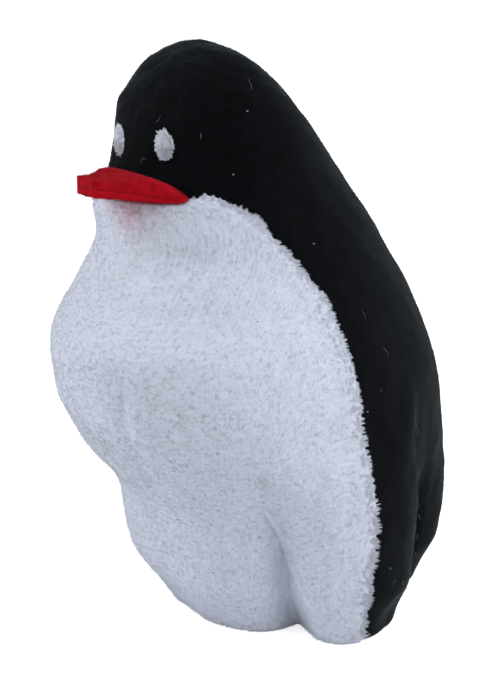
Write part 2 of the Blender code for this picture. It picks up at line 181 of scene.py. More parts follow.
# Soft dents and swells of the sewn cloth: angle and its spread, height and its spread, and how far out
DENTS = (
    # The throat is hollow under the beak
    (25.0, 24.0, 61.5, 4.5, -0.6),
    # The waist is nipped in beside the belly, and the breast stands out over it
    (-23.0, 18.0, 22.0, 3.5, -0.9),
    (-40.0, 20.0, 54.0, 3.0, 0.3),
    # The far side of the head is fuller above the eye and at the throat, and drawn in beside the beak
    (-43.0, 30.0, 80.5, 5.0, 0.4),
    (-43.0, 30.0, 64.5, 2.6, 0.3),
    (-43.0, 30.0, 70.5, 2.5, -0.6),
)

# The camera, in millimetres from the body's axis, and the photograph's frame in pixels
CAMERA_ANGLE = 47.0
CAMERA_OUT = 300.0
CAMERA_HEIGHT = 135.0
AIM_HEIGHT = 44.0
AIM_LEFT = 6.58
AIM_DOWN = 5.26
PICTURE = (493, 700)
FOCAL_PIXELS = 2048.0
SENSOR = 36.0

# Lamps: name, angle, distance out, height, width in metres, watts and colour
LAMPS = (
    ("lamp_main", 106.0, 380.0, 400.0, 0.5, 2.06, (0.93, 0.96, 1.0)),
    ("lamp_left", -36.0, 420.0, 300.0, 0.45, 1.7, (0.93, 0.96, 1.0)),
    ("lamp_back", 160.0, 420.0, 300.0, 0.45, 0.75, (0.95, 0.97, 1.0)),
)
LAMP_AIM = 45.0
ROOM_LIGHT = 0.38
FLOOR_GLOW = 0.7
FLOOR_REACH = 3.0


def curve_through(points):
    """Smooth curve through (place, value) points that never swings past them."""
    xs, ys = (np.array(column, float) for column in zip(*points))
    widths, rises = np.diff(xs), np.diff(ys)
    slopes = rises / widths
    before, after = slopes[:-1], slopes[1:]
    heavy, light = 2 * widths[1:] + widths[:-1], widths[1:] + 2 * widths[:-1]
    turning = before * after <= 0
    safe_before, safe_after = np.where(turning, 1.0, before), np.where(turning, 1.0, after)
    inner = np.where(turning, 0.0, (heavy + light) / (heavy / safe_before + light / safe_after))
    tangents = np.concatenate([slopes[:1], inner, slopes[-1:]])

    def value(x):
        x = np.clip(x, xs[0], xs[-1])
        i = np.minimum(np.searchsorted(xs, x, side="right") - 1, len(widths) - 1)
        u = (x - xs[i]) / widths[i]
        rise, start, end = rises[i], tangents[i] * widths[i], tangents[i + 1] * widths[i]
        return ys[i] + u * (start + u * (3 * rise - 2 * start - end + u * (start + end - 2 * rise)))

    return value


LAST_STATION = len(STATIONS) - 1
height_at, front_at, back_at, side_at = (
    curve_through([(i, row[k]) for i, row in enumerate(STATIONS)]) for k in range(4)
)
pleat_at = curve_through(PLEATS)
seam_angle_at = curve_through(SIDE_SEAM)
TABLE_STATIONS = np.linspace(0.0, LAST_STATION, 6001)
TABLE_HEIGHTS = height_at(TABLE_STATIONS)


def station_of(height):
    """The place along the stations where the body has this height."""
    return np.interp(height, TABLE_HEIGHTS, TABLE_STATIONS)


def smooth(low, high, value):
    """Smooth step from 0 at low to 1 at high."""
    u = np.clip((value - low) / (high - low), 0.0, 1.0)
    return u * u * (3 - 2 * u)


def skin(station, angle):
    """Points of the outer surface, the angle in degrees from the front towards +X."""
    front, back, side = front_at(station), back_at(station), side_at(station)
    s, c = np.sin(np.radians(angle)), np.cos(np.radians(angle))
    bend = 2 / ROUNDNESS
    x = side * np.sign(s) * np.abs(s) ** bend
    y = (back - front) / 2 - (back + front) / 2 * np.sign(c) * np.abs(c) ** bend
    height = height_at(station)
    around = np.abs((angle + 180) % 360 - 180)
    push = (1 - smooth(PLEAT_FULL_BELOW, PLEAT_GONE_ABOVE, height)) * pleat_at(around)
    return np.stack([x + s * push, y - c * push, height], axis=-1)


def unit(vectors):
    """The vectors at a length of one."""
    return vectors / np.maximum(np.linalg.norm(vectors, axis=-1, keepdims=True), 1e-12)


def skin_normal(station, angle):
    """Outward unit normals of the outer surface."""
    low = skin(np.maximum(station - 0.02, 0.0), angle)
    high = skin(np.minimum(station + 0.02, LAST_STATION - 0.02), angle)
    return unit(np.cross(skin(station, angle + 0.5) - skin(station, angle - 0.5), high - low))


def on_skin(angle, height, lift=0.0):
    """Points that stand off the outer surface by lift."""
    station = station_of(np.asarray(height, float))
    angle = np.asarray(angle, float)
    return skin(station, angle) + skin_normal(station, angle) * np.asarray(lift)[..., None]


def level_out(angle):
    """Level directions away from the axis."""
    turn = np.radians(angle)
    return np.stack([np.sin(turn), -np.cos(turn), np.zeros_like(turn)], axis=-1)


# How far the frame's solids were moved to stand over the origin
BEAK_FRONT = skin(station_of(MOUTH), 0.0)[1] - BEAK_LENGTH
MOVED = np.array([0.0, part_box("upper_beak")[0].y / MM - BEAK_FRONT, 0.0])


def hashed(*values):
    """Even numbers from 0 to 1 that depend on whole values alone."""
    total = sum(value * step for value, step in zip(values, (127.1, 311.7, 74.7)))
    wave = np.sin(total) * 43758.5453
    return wave - np.floor(wave)


def tufts(along, up, width, height, jitter, seed):
    """Tufts on a jittered brick lattice: their height from 0 to 1, and the way to the nearest top."""
    best = np.full(along.shape, 9.0)
    to_along, to_up = np.zeros(along.shape), np.zeros(along.shape)
    for down in (-1, 0, 1):
        row = np.floor(up / height) + down
        shift = 0.5 * (row % 2)
        for side in (-1, 0, 1):
            column = np.floor(along / width - shift) + side
            x = along / width - shift - column - 0.5 - jitter * (hashed(row, column, seed) - 0.5)
            y = up / height - row - 0.5 - jitter * (hashed(row, column, seed + 5) - 0.5)
            nearer = x * x + y * y < best
            best = np.where(nearer, x * x + y * y, best)
            to_along = np.where(nearer, -x * width, to_along)
            to_up = np.where(nearer, -y * height, to_up)
    return np.sqrt(np.clip(1 - best / 0.62, 0.0, 1.0)), to_along, to_up


def wander(along, up, size, seed):
    """Smooth even noise from -1 to 1 whose swells are about size across."""
    x, y = along / size, up / size
    left, low = np.floor(x), np.floor(y)
    u, v = x - left, y - low
    u, v = u * u * (3 - 2 * u), v * v * (3 - 2 * v)
    corner = [[hashed(left + i, low + j, seed) for j in (0, 1)] for i in (0, 1)]
    first = share(corner[0][0], corner[0][1], v)
    return 2 * share(first, share(corner[1][0], corner[1][1], v), u) - 1


def swells(along, up, kinds):
    """Sum of smooth swells, each of a width, a height and a seed."""
    return sum(height * wander(along, up, width, seed) for width, height, seed in kinds)


def grid_normals(points):
    """Unit normals of a grid of points whose columns run to the right and rows upwards."""
    return unit(np.cross(np.gradient(points, axis=1), np.gradient(points, axis=0)))


def runs(points, axis):
    """Length run along the grid from its first line."""
    steps = np.linalg.norm(np.diff(points, axis=axis), axis=-1)
    first = np.zeros_like(np.take(steps, [0], axis=axis))
    return np.concatenate([first, np.cumsum(steps, axis=axis)], axis=axis)


def add_piece(name, points, faces, materials, face_materials=None, corner_map=None):
    """Mesh object from points in millimetres on the body's axis, riding on the frame's one body."""
    mesh = bpy.data.meshes.new(name)
    placed = (np.asarray(points, float) + MOVED) * MM
    mesh.from_pydata(placed.tolist(), [], faces)
    mesh.shade_smooth()
    for material in materials:
        mesh.materials.append(material)
    if face_materials is not None:
        mesh.polygons.foreach_set("material_index", np.asarray(face_materials, np.int32))
    if corner_map is not None:
        layer = mesh.uv_layers.new(name="OFBake")
        order = np.zeros(len(mesh.loops), np.int32)
        mesh.loops.foreach_get("vertex_index", order)
        layer.data.foreach_set("uv", np.asarray(corner_map, np.float32)[order].ravel())
    mesh.update()
    made = bpy.data.objects.new(name, mesh)
    bpy.context.scene.collection.objects.link(made)
    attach(made, "root")
    return made


def fibres(name, roots, ways, width, material, lengths=None, bend=None, facing=None):
    """Closed tapered hairs, each as long as its way unless a length is given.

    With bend, each has a middle ring from which its tip turns that way. With facing, the hairs are
    lit like the cloth that faces that way, as light passes through them.
    """
    count = len(roots)
    if lengths is None:
        lengths = np.linalg.norm(ways, axis=-1)
    directions = unit(ways)
    aside = unit(np.cross(directions, np.array([0.31, 0.57, 0.76])))
    other = np.cross(directions, aside)
    tips = roots + directions * lengths[:, None]
    rings = [(roots, 1.0)]
    if bend is not None:
        rings.append((roots + directions * lengths[:, None] * 0.55, 0.8))
        tips = tips + bend
    points, normals = [], []
    for centres, part in rings:
        for turn in (0.0, math.tau / 3, 2 * math.tau / 3):
            off = math.cos(turn) * aside + math.sin(turn) * other
            points.append(centres + off * (width * part / 2)[:, None])
            normals.append(off)
    points.append(tips)
    normals.append(directions)
    per = len(points)
    flat = np.stack(points, axis=1).reshape(-1, 3)
    flat[:, 2] = np.maximum(flat[:, 2], 0.02)
    start = np.arange(count)[:, None, None] * per
    top = per - 1
    ends = [(per - 4, per - 3, top), (per - 3, per - 2, top), (per - 2, per - 4, top), (2, 1, 0)]
    faces = (start + np.array(ends)).reshape(-1, 3).tolist()
    if bend is not None:
        walls = [(0, 1, 4, 3), (1, 2, 5, 4), (2, 0, 3, 5)]
        faces += (start + np.array(walls)).reshape(-1, 4).tolist()
    across = math.ceil(math.sqrt(count))
    cell = np.stack([np.arange(count) % across, np.arange(count) // across], axis=-1)
    inside = [(0.1, 0.1), (0.9, 0.1), (0.5, 0.9), (0.3, 0.2), (0.7, 0.2), (0.5, 0.7), (0.5, 0.45)]
    inside = np.array(inside[:3] + inside[-1:] if bend is None else inside)
    place = ((cell[:, None, :] + inside) / across).reshape(-1, 2)
    made = add_piece(name, flat, faces, [material], corner_map=place)
    if facing is not None:
        held = unit(np.stack(normals, axis=1) * 0.35 + facing[:, None, :]).reshape(-1, 3)
        made.data.normals_split_custom_set_from_vertices(held.tolist())
    return made


def scatter(points, count, random):
    """Random places spread evenly over a grid of points, as cell and share within the cell."""
    across, up = points[:-1, 1:] - points[:-1, :-1], points[1:, :-1] - points[:-1, :-1]
    area = np.linalg.norm(np.cross(across, up), axis=-1)
    total = np.cumsum(area.ravel())
    cell = np.searchsorted(total, random.random(count) * total[-1])
    row, column = np.divmod(np.minimum(cell, area.size - 1), area.shape[1])
    return row, column, random.random(count), random.random(count)


def between(values, places):
    """Values of a grid at scattered places."""
    row, column, u, v = places
    extra = (1,) * (values.ndim - 2)
    u, v = u.reshape(-1, *extra), v.reshape(-1, *extra)
    low = share(values[row, column], values[row, column + 1], u)
    return share(low, share(values[row + 1, column], values[row + 1, column + 1], u), v)


def zipped(outer, inner):
    """Faces of the strip between two chains of vertices that start and end side by side."""
    faces, i, j = [], 0, 0
    while i < len(outer) - 1 or j < len(inner) - 1:
        outer_next = (i + 1) / (len(outer) - 1)
        inner_next = (j + 1) / (len(inner) - 1)
        if j == len(inner) - 1 or (i < len(outer) - 1 and outer_next <= inner_next):
            faces.append((outer[i], inner[j], outer[i + 1]))
            i += 1
        else:
            faces.append((outer[i], inner[j], inner[j + 1]))
            j += 1
    return faces


def linear(code):
    """Linear red, green and blue of an sRGB hex colour."""
    parts = [int(code[i:i + 2], 16) / 255 for i in (1, 3, 5)]
    return [p / 12.92 if p <= 0.04045 else ((p + 0.055) / 1.055) ** 2.4 for p in parts]


def add_node(tree, kind, inputs=None, **settings):
    """New node with its settings. An input given as a socket is linked, and any other is set."""
    made = tree.nodes.new(kind)
    for key, value in settings.items():
        setattr(made, key, value)
    for key, value in (inputs or {}).items():
        if isinstance(value, bpy.types.NodeSocket):
            tree.links.new(value, made.inputs[key])
        else:
            made.inputs[key].default_value = value
    return made


def new_material(name):
    """Empty material, its node tree and its object coordinates."""
    made = bpy.data.materials.new(name)
    made.use_nodes = True
    made.node_tree.nodes.clear()
    place = add_node(made.node_tree, "ShaderNodeTexCoord").outputs["Object"]
    return made, made.node_tree, place


def per_metre(millimetres):
    """Texture scale at which one swell is this long."""
    return 1000.0 / millimetres


def finish_cloth(tree, colour, normal, roughness, sheen, sheen_tint, sheen_roughness=0.5, gloss=0.1):
    """Principled shader of a cloth and the material's output."""
    inputs = {
        "Base Color": colour,
        "Roughness": roughness,
        "IOR": 1.45,
        "Specular IOR Level": gloss,
        "Sheen Weight": sheen,
        "Sheen Roughness": sheen_roughness,
        "Sheen Tint": (*sheen_tint, 1.0),
    }
    if normal is not None:
        inputs["Normal"] = normal
    shader = add_node(tree, "ShaderNodeBsdfPrincipled", inputs)
    add_node(tree, "ShaderNodeOutputMaterial", {"Surface": shader.outputs["BSDF"]})


def two_tones(tree, place, size, dark, light, detail=2.0, contrast=(0.3, 0.7)):
    """Colour that wanders between two tones over swells of the given size in millimetres."""
    noise = add_node(
        tree, "ShaderNodeTexNoise", {"Vector": place, "Scale": per_metre(size), "Detail": detail}
    )
    ramp = add_node(tree, "ShaderNodeValToRGB", {"Fac": noise.outputs["Fac"]})
    for stop, at, colour in zip(ramp.color_ramp.elements, contrast, (dark, light)):
        stop.position = at
        stop.color = (*colour, 1.0)
    return ramp.outputs["Color"]


def darker(colour, part):
    """The colour with its light reduced to the given part."""
    return [value * part for value in colour]


def with_painted_shade(tree, place, tone):
    """The tone darkened and reddened on the throat under the beak: painted shade, tinted with the beak's
    red.
    """
    middle = on_cloth(PAINTED_SHADE_ANGLE, PAINTED_SHADE_HEIGHT, 0.0) + MOVED
    away = add_node(
        tree, "ShaderNodeVectorMath", {0: place, 1: tuple(middle * MM)}, operation="DISTANCE"
    )
    cloud = add_node(
        tree, "ShaderNodeTexNoise", {"Vector": place, "Scale": per_metre(2.0), "Detail": 3.0}
    )
    # The noise makes its edge uneven by up to 4 mm
    edge = add_node(
        tree,
        "ShaderNodeMath",
        {0: cloud.outputs["Fac"], 1: 4.0 * MM, 2: away.outputs["Value"]},
        operation="MULTIPLY_ADD",
    )
    # Painted shade: the white goes up to 0.3 of the way to a dark pink right under the beak
    amount = add_node(
        tree,
        "ShaderNodeMapRange",
        {
            "Value": edge.outputs[0],
            "From Min": 2.0 * MM,
            "From Max": 8.5 * MM,
            "To Min": 0.3,
            "To Max": 0.0,
        },
        interpolation_type="SMOOTHSTEP",
    )
    # Inputs 6 and 7 of a colour mix are its two colours
    mixed = add_node(
        tree,
        "ShaderNodeMix",
        {"Factor": amount.outputs[0], 6: tone, 7: (*linear(PAINTED_SHADE_TINT), 1.0)},
        data_type="RGBA",
    )
    return mixed.outputs[2]


def white_velour(colour):
    """Polyester velour, knitted and sheared, white: soft matt tufts and no gloss."""
    made, tree, place = new_material("white_polyester_velour")
    tone = with_painted_shade(tree, place, two_tones(tree, place, 1.6, darker(colour, 0.95), colour))
    # The cut ends of the yarn are about 0.2 mm apart, drawn at 0.3 mm so that they show
    ends = add_node(
        tree, "ShaderNodeTexNoise", {"Vector": place, "Scale": per_metre(0.3), "Detail": 3.0}
    )
    grain = add_node(
        tree, "ShaderNodeBump", {"Height": ends.outputs["Fac"], "Strength": 0.5, "Distance": 0.15 * MM}
    )
    finish_cloth(tree, tone, grain.outputs["Normal"], 0.95, 0.25, (0.9, 0.94, 1.0))
    return made


def white_pile(colour):
    """Cut polyester pile, white, with painted shade between its tufts: small speckles of a darker tone."""
    made, tree, place = new_material("white_polyester_pile")
    # The darker of the two tones is painted shade, the gaps between the tufts
    tone = with_painted_shade(tree, place, two_tones(tree, place, 0.5, darker(colour, 0.91), colour))
    finish_cloth(tree, tone, None, 0.9, 0.15, (0.9, 0.94, 1.0))
    return made


def knit_back(name, colour):
    """Back of the velour, a plain jersey knit: fine level rows of loops."""
    made, tree, place = new_material(name)
    # Courses of the ground knit are 0.9 mm high
    courses = add_node(
        tree,
        "ShaderNodeTexWave",
        {"Vector": place, "Scale": per_metre(0.9) / 2, "Distortion": 2.0, "Detail": 2.0},
        bands_direction="Z",
    )
    grain = add_node(
        tree, "ShaderNodeBump", {"Height": courses.outputs["Fac"], "Strength": 0.6, "Distance": 0.2 * MM}
    )
    tone = two_tones(tree, place, 2.5, darker(colour, 0.8), darker(colour, 0.95))
    finish_cloth(tree, tone, grain.outputs["Normal"], 0.95, 0.1, (0.9, 0.94, 1.0))
    return made


def black_velour(colour, sheen_tint):
    """Polyester velour, knitted and sheared, black: takes in light, with a cool sheen at its rims."""
    made, tree, place = new_material("black_polyester_velour")
    tone = two_tones(tree, place, 1.2, darker(colour, 0.75), darker(colour, 1.2))
    # The dense pile shows as a grain of about 0.4 mm
    ends = add_node(
        tree, "ShaderNodeTexNoise", {"Vector": place, "Scale": per_metre(0.4), "Detail": 3.0}
    )
    grain = add_node(
        tree, "ShaderNodeBump", {"Height": ends.outputs["Fac"], "Strength": 0.5, "Distance": 0.2 * MM}
    )
    finish_cloth(tree, tone, grain.outputs["Normal"], 0.95, 0.15, sheen_tint, 0.4, 0.03)
    return made


def black_pile(colour, sheen_tint):
    """Cut polyester pile, black: hairs whose ends catch a little cool light."""
    made, tree, place = new_material("black_polyester_pile")
    tone = two_tones(tree, place, 0.6, darker(colour, 0.7), darker(colour, 1.5))
    finish_cloth(tree, tone, None, 0.85, 0.1, sheen_tint, 0.4, 0.04)
    return made


def red_felt(name, colour):
    """Pressed acrylic felt, red: matt and cloudy, with hairs matted every way."""
    made, tree, place = new_material(name)
    tone = two_tones(tree, place, 1.4, darker(colour, 0.8), darker(colour, 1.12), 4.0)
    # Matted hairs about 0.3 mm apart
    hairs = add_node(
        tree,
        "ShaderNodeTexNoise",
        {"Vector": place, "Scale": per_metre(0.3), "Detail": 4.0, "Distortion": 1.5},
    )
    grain = add_node(
        tree, "ShaderNodeBump", {"Height": hairs.outputs["Fac"], "Strength": 0.7, "Distance": 0.15 * MM}
    )
    finish_cloth(tree, tone, grain.outputs["Normal"], 0.95, 0.03, (1.0, 0.6, 0.6), 0.5, 0.04)
    return made


def plain_hair(name, dark, light, swells=0.8):
    """Loose fibre of polyester or wool: two tones along its length."""
    made, tree, place = new_material(name)
    tone = two_tones(tree, place, swells, dark, light)
    finish_cloth(tree, tone, None, 0.8, 0.1, (0.95, 0.97, 1.0))
    return made


class PuppetSizes(PropertyGroup):
    """Sizes of the pile and trim."""

    tuft_width: FloatProperty(
        name="Tuft width",
        description="Width of a tuft of the white pile",
        default=0.8 * MM,
        unit="LENGTH",
    )
    tuft_height: FloatProperty(
        name="Tuft height",
        description="Height of a tuft of the white pile",
        default=1.1 * MM,
        unit="LENGTH",
    )
    tuft_depth: FloatProperty(
        name="Tuft depth",
        description="How far a tuft stands out",
        default=0.32 * MM,
        unit="LENGTH",
    )
    white_pile: FloatProperty(
        name="White pile",
        description="Length of the white pile's hairs",
        default=0.34 * MM,
        unit="LENGTH",
    )
    black_pile: FloatProperty(
        name="Black pile",
        description="Length of the black pile's hairs",
        default=0.4 * MM,
        unit="LENGTH",
    )
    fringe: FloatProperty(
        name="Seam fringe",
        description="Length of the hairs over the side seam",
        default=1.2 * MM,
        unit="LENGTH",
    )


class PuppetColours(PropertyGroup):
    """Colours of the cloths and threads."""

    white: FloatVectorProperty(
        name="White cloth",
        description="Colour of the white velour",
        subtype="COLOR",
        default=linear("#CCD0DB"),
    )
    black: FloatVectorProperty(
        name="Black cloth",
        description="Colour of the black velour",
        subtype="COLOR",
        default=linear("#08090B"),
    )
    black_sheen: FloatVectorProperty(
        name="Black sheen",
        description="Tint of the black pile's sheen",
        subtype="COLOR",
        default=linear("#C4D2D8"),
    )
    red: FloatVectorProperty(
        name="Felt",
        description="Colour of the beak's felt",
        subtype="COLOR",
        default=linear("#A30C1B"),
    )
    eye: FloatVectorProperty(
        name="Eyes",
        description="Colour of the eyes' thread",
        subtype="COLOR",
        default=linear("#F0F2FB"),
    )
    filling: FloatVectorProperty(
        name="Filling",
        description="Colour of the fibrefill",
        subtype="COLOR",
        default=linear("#E4E4E0"),
    )


def sizes():
    """The scene's sizes of the puppet."""
    return bpy.context.scene.puppet_sizes


def colours():
    """The scene's colours of the puppet, as plain lists."""
    held = bpy.context.scene.puppet_colours
    return {name: list(getattr(held, name)) for name in PuppetColours.__annotations__}


def swell_at(value, middle, spread):
    """A soft swell of height 1 around the middle."""
    return np.exp(-((value - middle) / spread) ** 2)


def dressing(height, angle):
    """How far the sewn cloth departs from the frame's smooth shape, outwards in millimetres."""
    around = np.abs(angle)
    # The side lobe of the skirt overlaps the front one in a sharp edge on each side
    past = around - np.interp(height, *LOBE_EDGE)
    step = smooth(-0.4, 0.4, past)
    lobe = 0.6 * step * (1 - smooth(1.0, 15.0, past))
    tuck = 0.1 * smooth(-15.0, -0.5, past)
    tuck = tuck + 0.15 * smooth(-7.0, -0.5, past) * (1 - smooth(8.0, 15.0, height))
    out = (1 - smooth(16.0, 27.0, height)) * (lobe - tuck * (1 - step))
    # The cheeks are drawn in above the beak's corners
    out = out - 0.9 * swell_at(around, 47, 26) * smooth(63, 70, height) * (1 - smooth(73, 80, height))
    # The hem turns in at the front's outer edge and under the sides, and stands out in the middle
    low = 1 - smooth(2.5, 11.0, height)
    out = out - low * (1.55 * swell_at(angle, -26, 16) - 0.8 * swell_at(angle, 6, 12))
    out = out - 1.2 * swell_at(around, 93, 14) * (1 - smooth(2.0, 7.0, height))
    out = out - 0.6 * swell_at(around, 142, 10) * (1 - smooth(3.0, 7.0, height))
    # The groove behind the side lobe starts in a crease
    behind = around - np.interp(height, *GROOVE)
    out = out - smooth(-2.5, 2.5, behind) * (1 - smooth(2.5, 19.0, behind)) * swell_at(height, 24.0, 10.0)
    for middle, spread, level, reach, depth in DENTS:
        out = out + depth * swell_at(angle, middle, spread) * swell_at(height, level, reach)
    # The belly is a little slimmer on its far side, and the crown a little fuller
    slim = smooth(28.0, 36.0, height) * (1 - smooth(60.0, 66.0, height))
    out = out - 0.3 * swell_at(angle, -43, 35) * slim
    out = out + 0.35 * smooth(86.0, 88.0, height)
    # Soft creases where the belly's cloth is drawn in to the waist
    band = smooth(18.0, 26.0, height) * (1 - smooth(40.0, 52.0, height))
    for side, shift, depth in CREASES:
        line = side * np.interp(height, *CREASE) + shift
        out = out - depth * band * swell_at(angle, line, 3.0)
    return out


def dressed(height, angle, depth=0.0, side=1):
    """Points of the sewn cloth's outer face, or at a level depth behind it.

    Side -1 gives its right half, mirrored to the left.
    """
    station, level = station_of(height), level_out(angle)
    # The hem stands upright, and the cloth above it follows the body's slope
    outward = unit(share(level, skin_normal(station, angle), smooth(8.0, 20.0, height)[..., None]))
    put = outward * dressing(height, angle * side)[..., None] - level * np.asarray(depth)[..., None]
    return skin(station, angle) + put


def on_cloth(angle, height, lift):
    """Points that stand off the sewn cloth by lift."""
    angle, height = np.asarray(angle, float), np.asarray(height, float)
    outward = skin_normal(station_of(height), angle)
    return dressed(height, angle) + outward * np.asarray(lift)[..., None]


def degree_width(angle, height):
    """Length of one degree round the surface at a place."""
    return np.linalg.norm(on_skin(angle + 0.5, height) - on_skin(angle - 0.5, height))


def rim_roll(distance, reach, depth):
    """How far cloth rolls in at a seam, by the distance from it."""
    return -depth * (1 - np.clip(distance / reach, 0.0, 1.0)) ** 2


def hem_profile():
    """Heights and level depths of the rows of the turned-up hem, from inside round its edge."""
    flap = np.linspace(HEM_DEPTH, HEM_ROUNDING, 18)[:-1]
    turn = np.linspace(0.0, math.pi / 2, 6)
    rise, fall = HEM_ROUNDING * (1 - np.cos(turn)), HEM_ROUNDING * (1 - np.sin(turn))
    sole = np.linspace(HEM_THICK - HEM_ROUNDING, HEM_ROUNDING, 4)[1:-1]
    heights = np.concatenate([flap, fall, np.zeros(len(sole)), rise[:-1]])
    depths = np.concatenate([np.full(len(flap), HEM_THICK), HEM_THICK - rise, sole, fall[:-1]])
    return heights, depths


def slit_share(angle):
    """How far the mouth's slit stands open, from 1 in the middle to 0 at its corner."""
    part = np.minimum(np.abs(angle) / MOUTH_CORNER, 1.0)
    return np.sqrt(1 - part ** MOUTH_SQUARENESS)


def rows_of(values, columns):
    """A grid with one value in each row."""
    return np.repeat(values[:, None], columns, axis=1)


def ring_walls(index):
    """Quads between neighbouring closed rings of vertices."""
    beside = np.roll(index, -1, axis=1)
    return np.stack([index[:-1], beside[:-1], beside[1:], index[1:]], axis=-1).reshape(-1, 4)


def end_caps(index, outer_count, flap_count):
    """Faces that close the two side edges of a panel."""
    faces = []
    for column, flip in ((0, True), (-1, False)):
        line = index[:, column].tolist()
        outside = line[flap_count:outer_count]
        inside = line[:flap_count][::-1] + line[outer_count:][::-1]
        strip = zipped(outside, inside)
        faces += [face[::-1] for face in strip] if flip else strip
    return faces


def add_panel(name, outer, inner, flap_count, materials, sign=1):
    """A closed panel: its outer rows from the flap up to its top edge, then its inner rows down.

    The second material is for the knit's back, inside. Sign -1 mirrors the panel to the right.
    """
    rows, columns = len(outer) + len(inner), outer.shape[1]
    index = np.arange(rows * columns).reshape(rows, columns)
    above = np.roll(index, -1, axis=0)
    quads = np.stack([index[:, :-1], index[:, 1:], above[:, 1:], above[:, :-1]], axis=-1)
    shell = quads.reshape(-1, 4).tolist()
    faces = shell + end_caps(index, len(outer), flap_count)
    lined = np.zeros(len(faces), int)
    lined[(len(outer) - 1) * (columns - 1):len(shell)] = 1
    if sign < 0:
        faces = [face[::-1] for face in faces]
    up, along = np.meshgrid(
        np.linspace(0.01, 0.99, rows), np.linspace(0.01, 0.99, columns), indexing="ij"
    )
    flat = np.stack([along, up], axis=-1).reshape(-1, 2)
    points = np.concatenate([outer, inner]).reshape(-1, 3) * np.array([sign, 1.0, 1.0])
    return add_piece(name, points, faces, materials, lined, flat)


def even_heights(low, high, angle, step):
    """Heights between low and high that lie a step apart along the surface."""
    fine = np.linspace(low, high, 2000)
    line = skin(station_of(fine), np.full(2000, angle))
    run = runs(line[:, None, :], 0)[:, 0]
    count = max(int(run[-1] / step), 2)
    return np.interp(np.linspace(0.0, run[-1], count + 1), run, fine)


def inner_rows(heights, angles, side=1):
    """Points of the panel's inner face at the given rows."""
    inward = skin_normal(station_of(heights), angles)
    level = smooth(MOUTH - 2 * MOUTH_HALF, MOUTH - MOUTH_HALF, heights) * (heights < MOUTH + MOUTH_HALF)
    inward = unit(share(inward, level_out(angles), level[..., None]))
    return dressed(heights, angles, side=side) - inward * CLOTH


def slit_rows(heights, across):
    """Heights along the front panel's rows, which dip under the mouth to the lower edge of its slit."""
    starts = share(THROAT, MOUTH, 0.2)
    sink = np.maximum(heights - starts, 0.0) / (MOUTH - starts)
    return heights - sink * MOUTH_HALF * slit_share(across * MOUTH_CORNER)


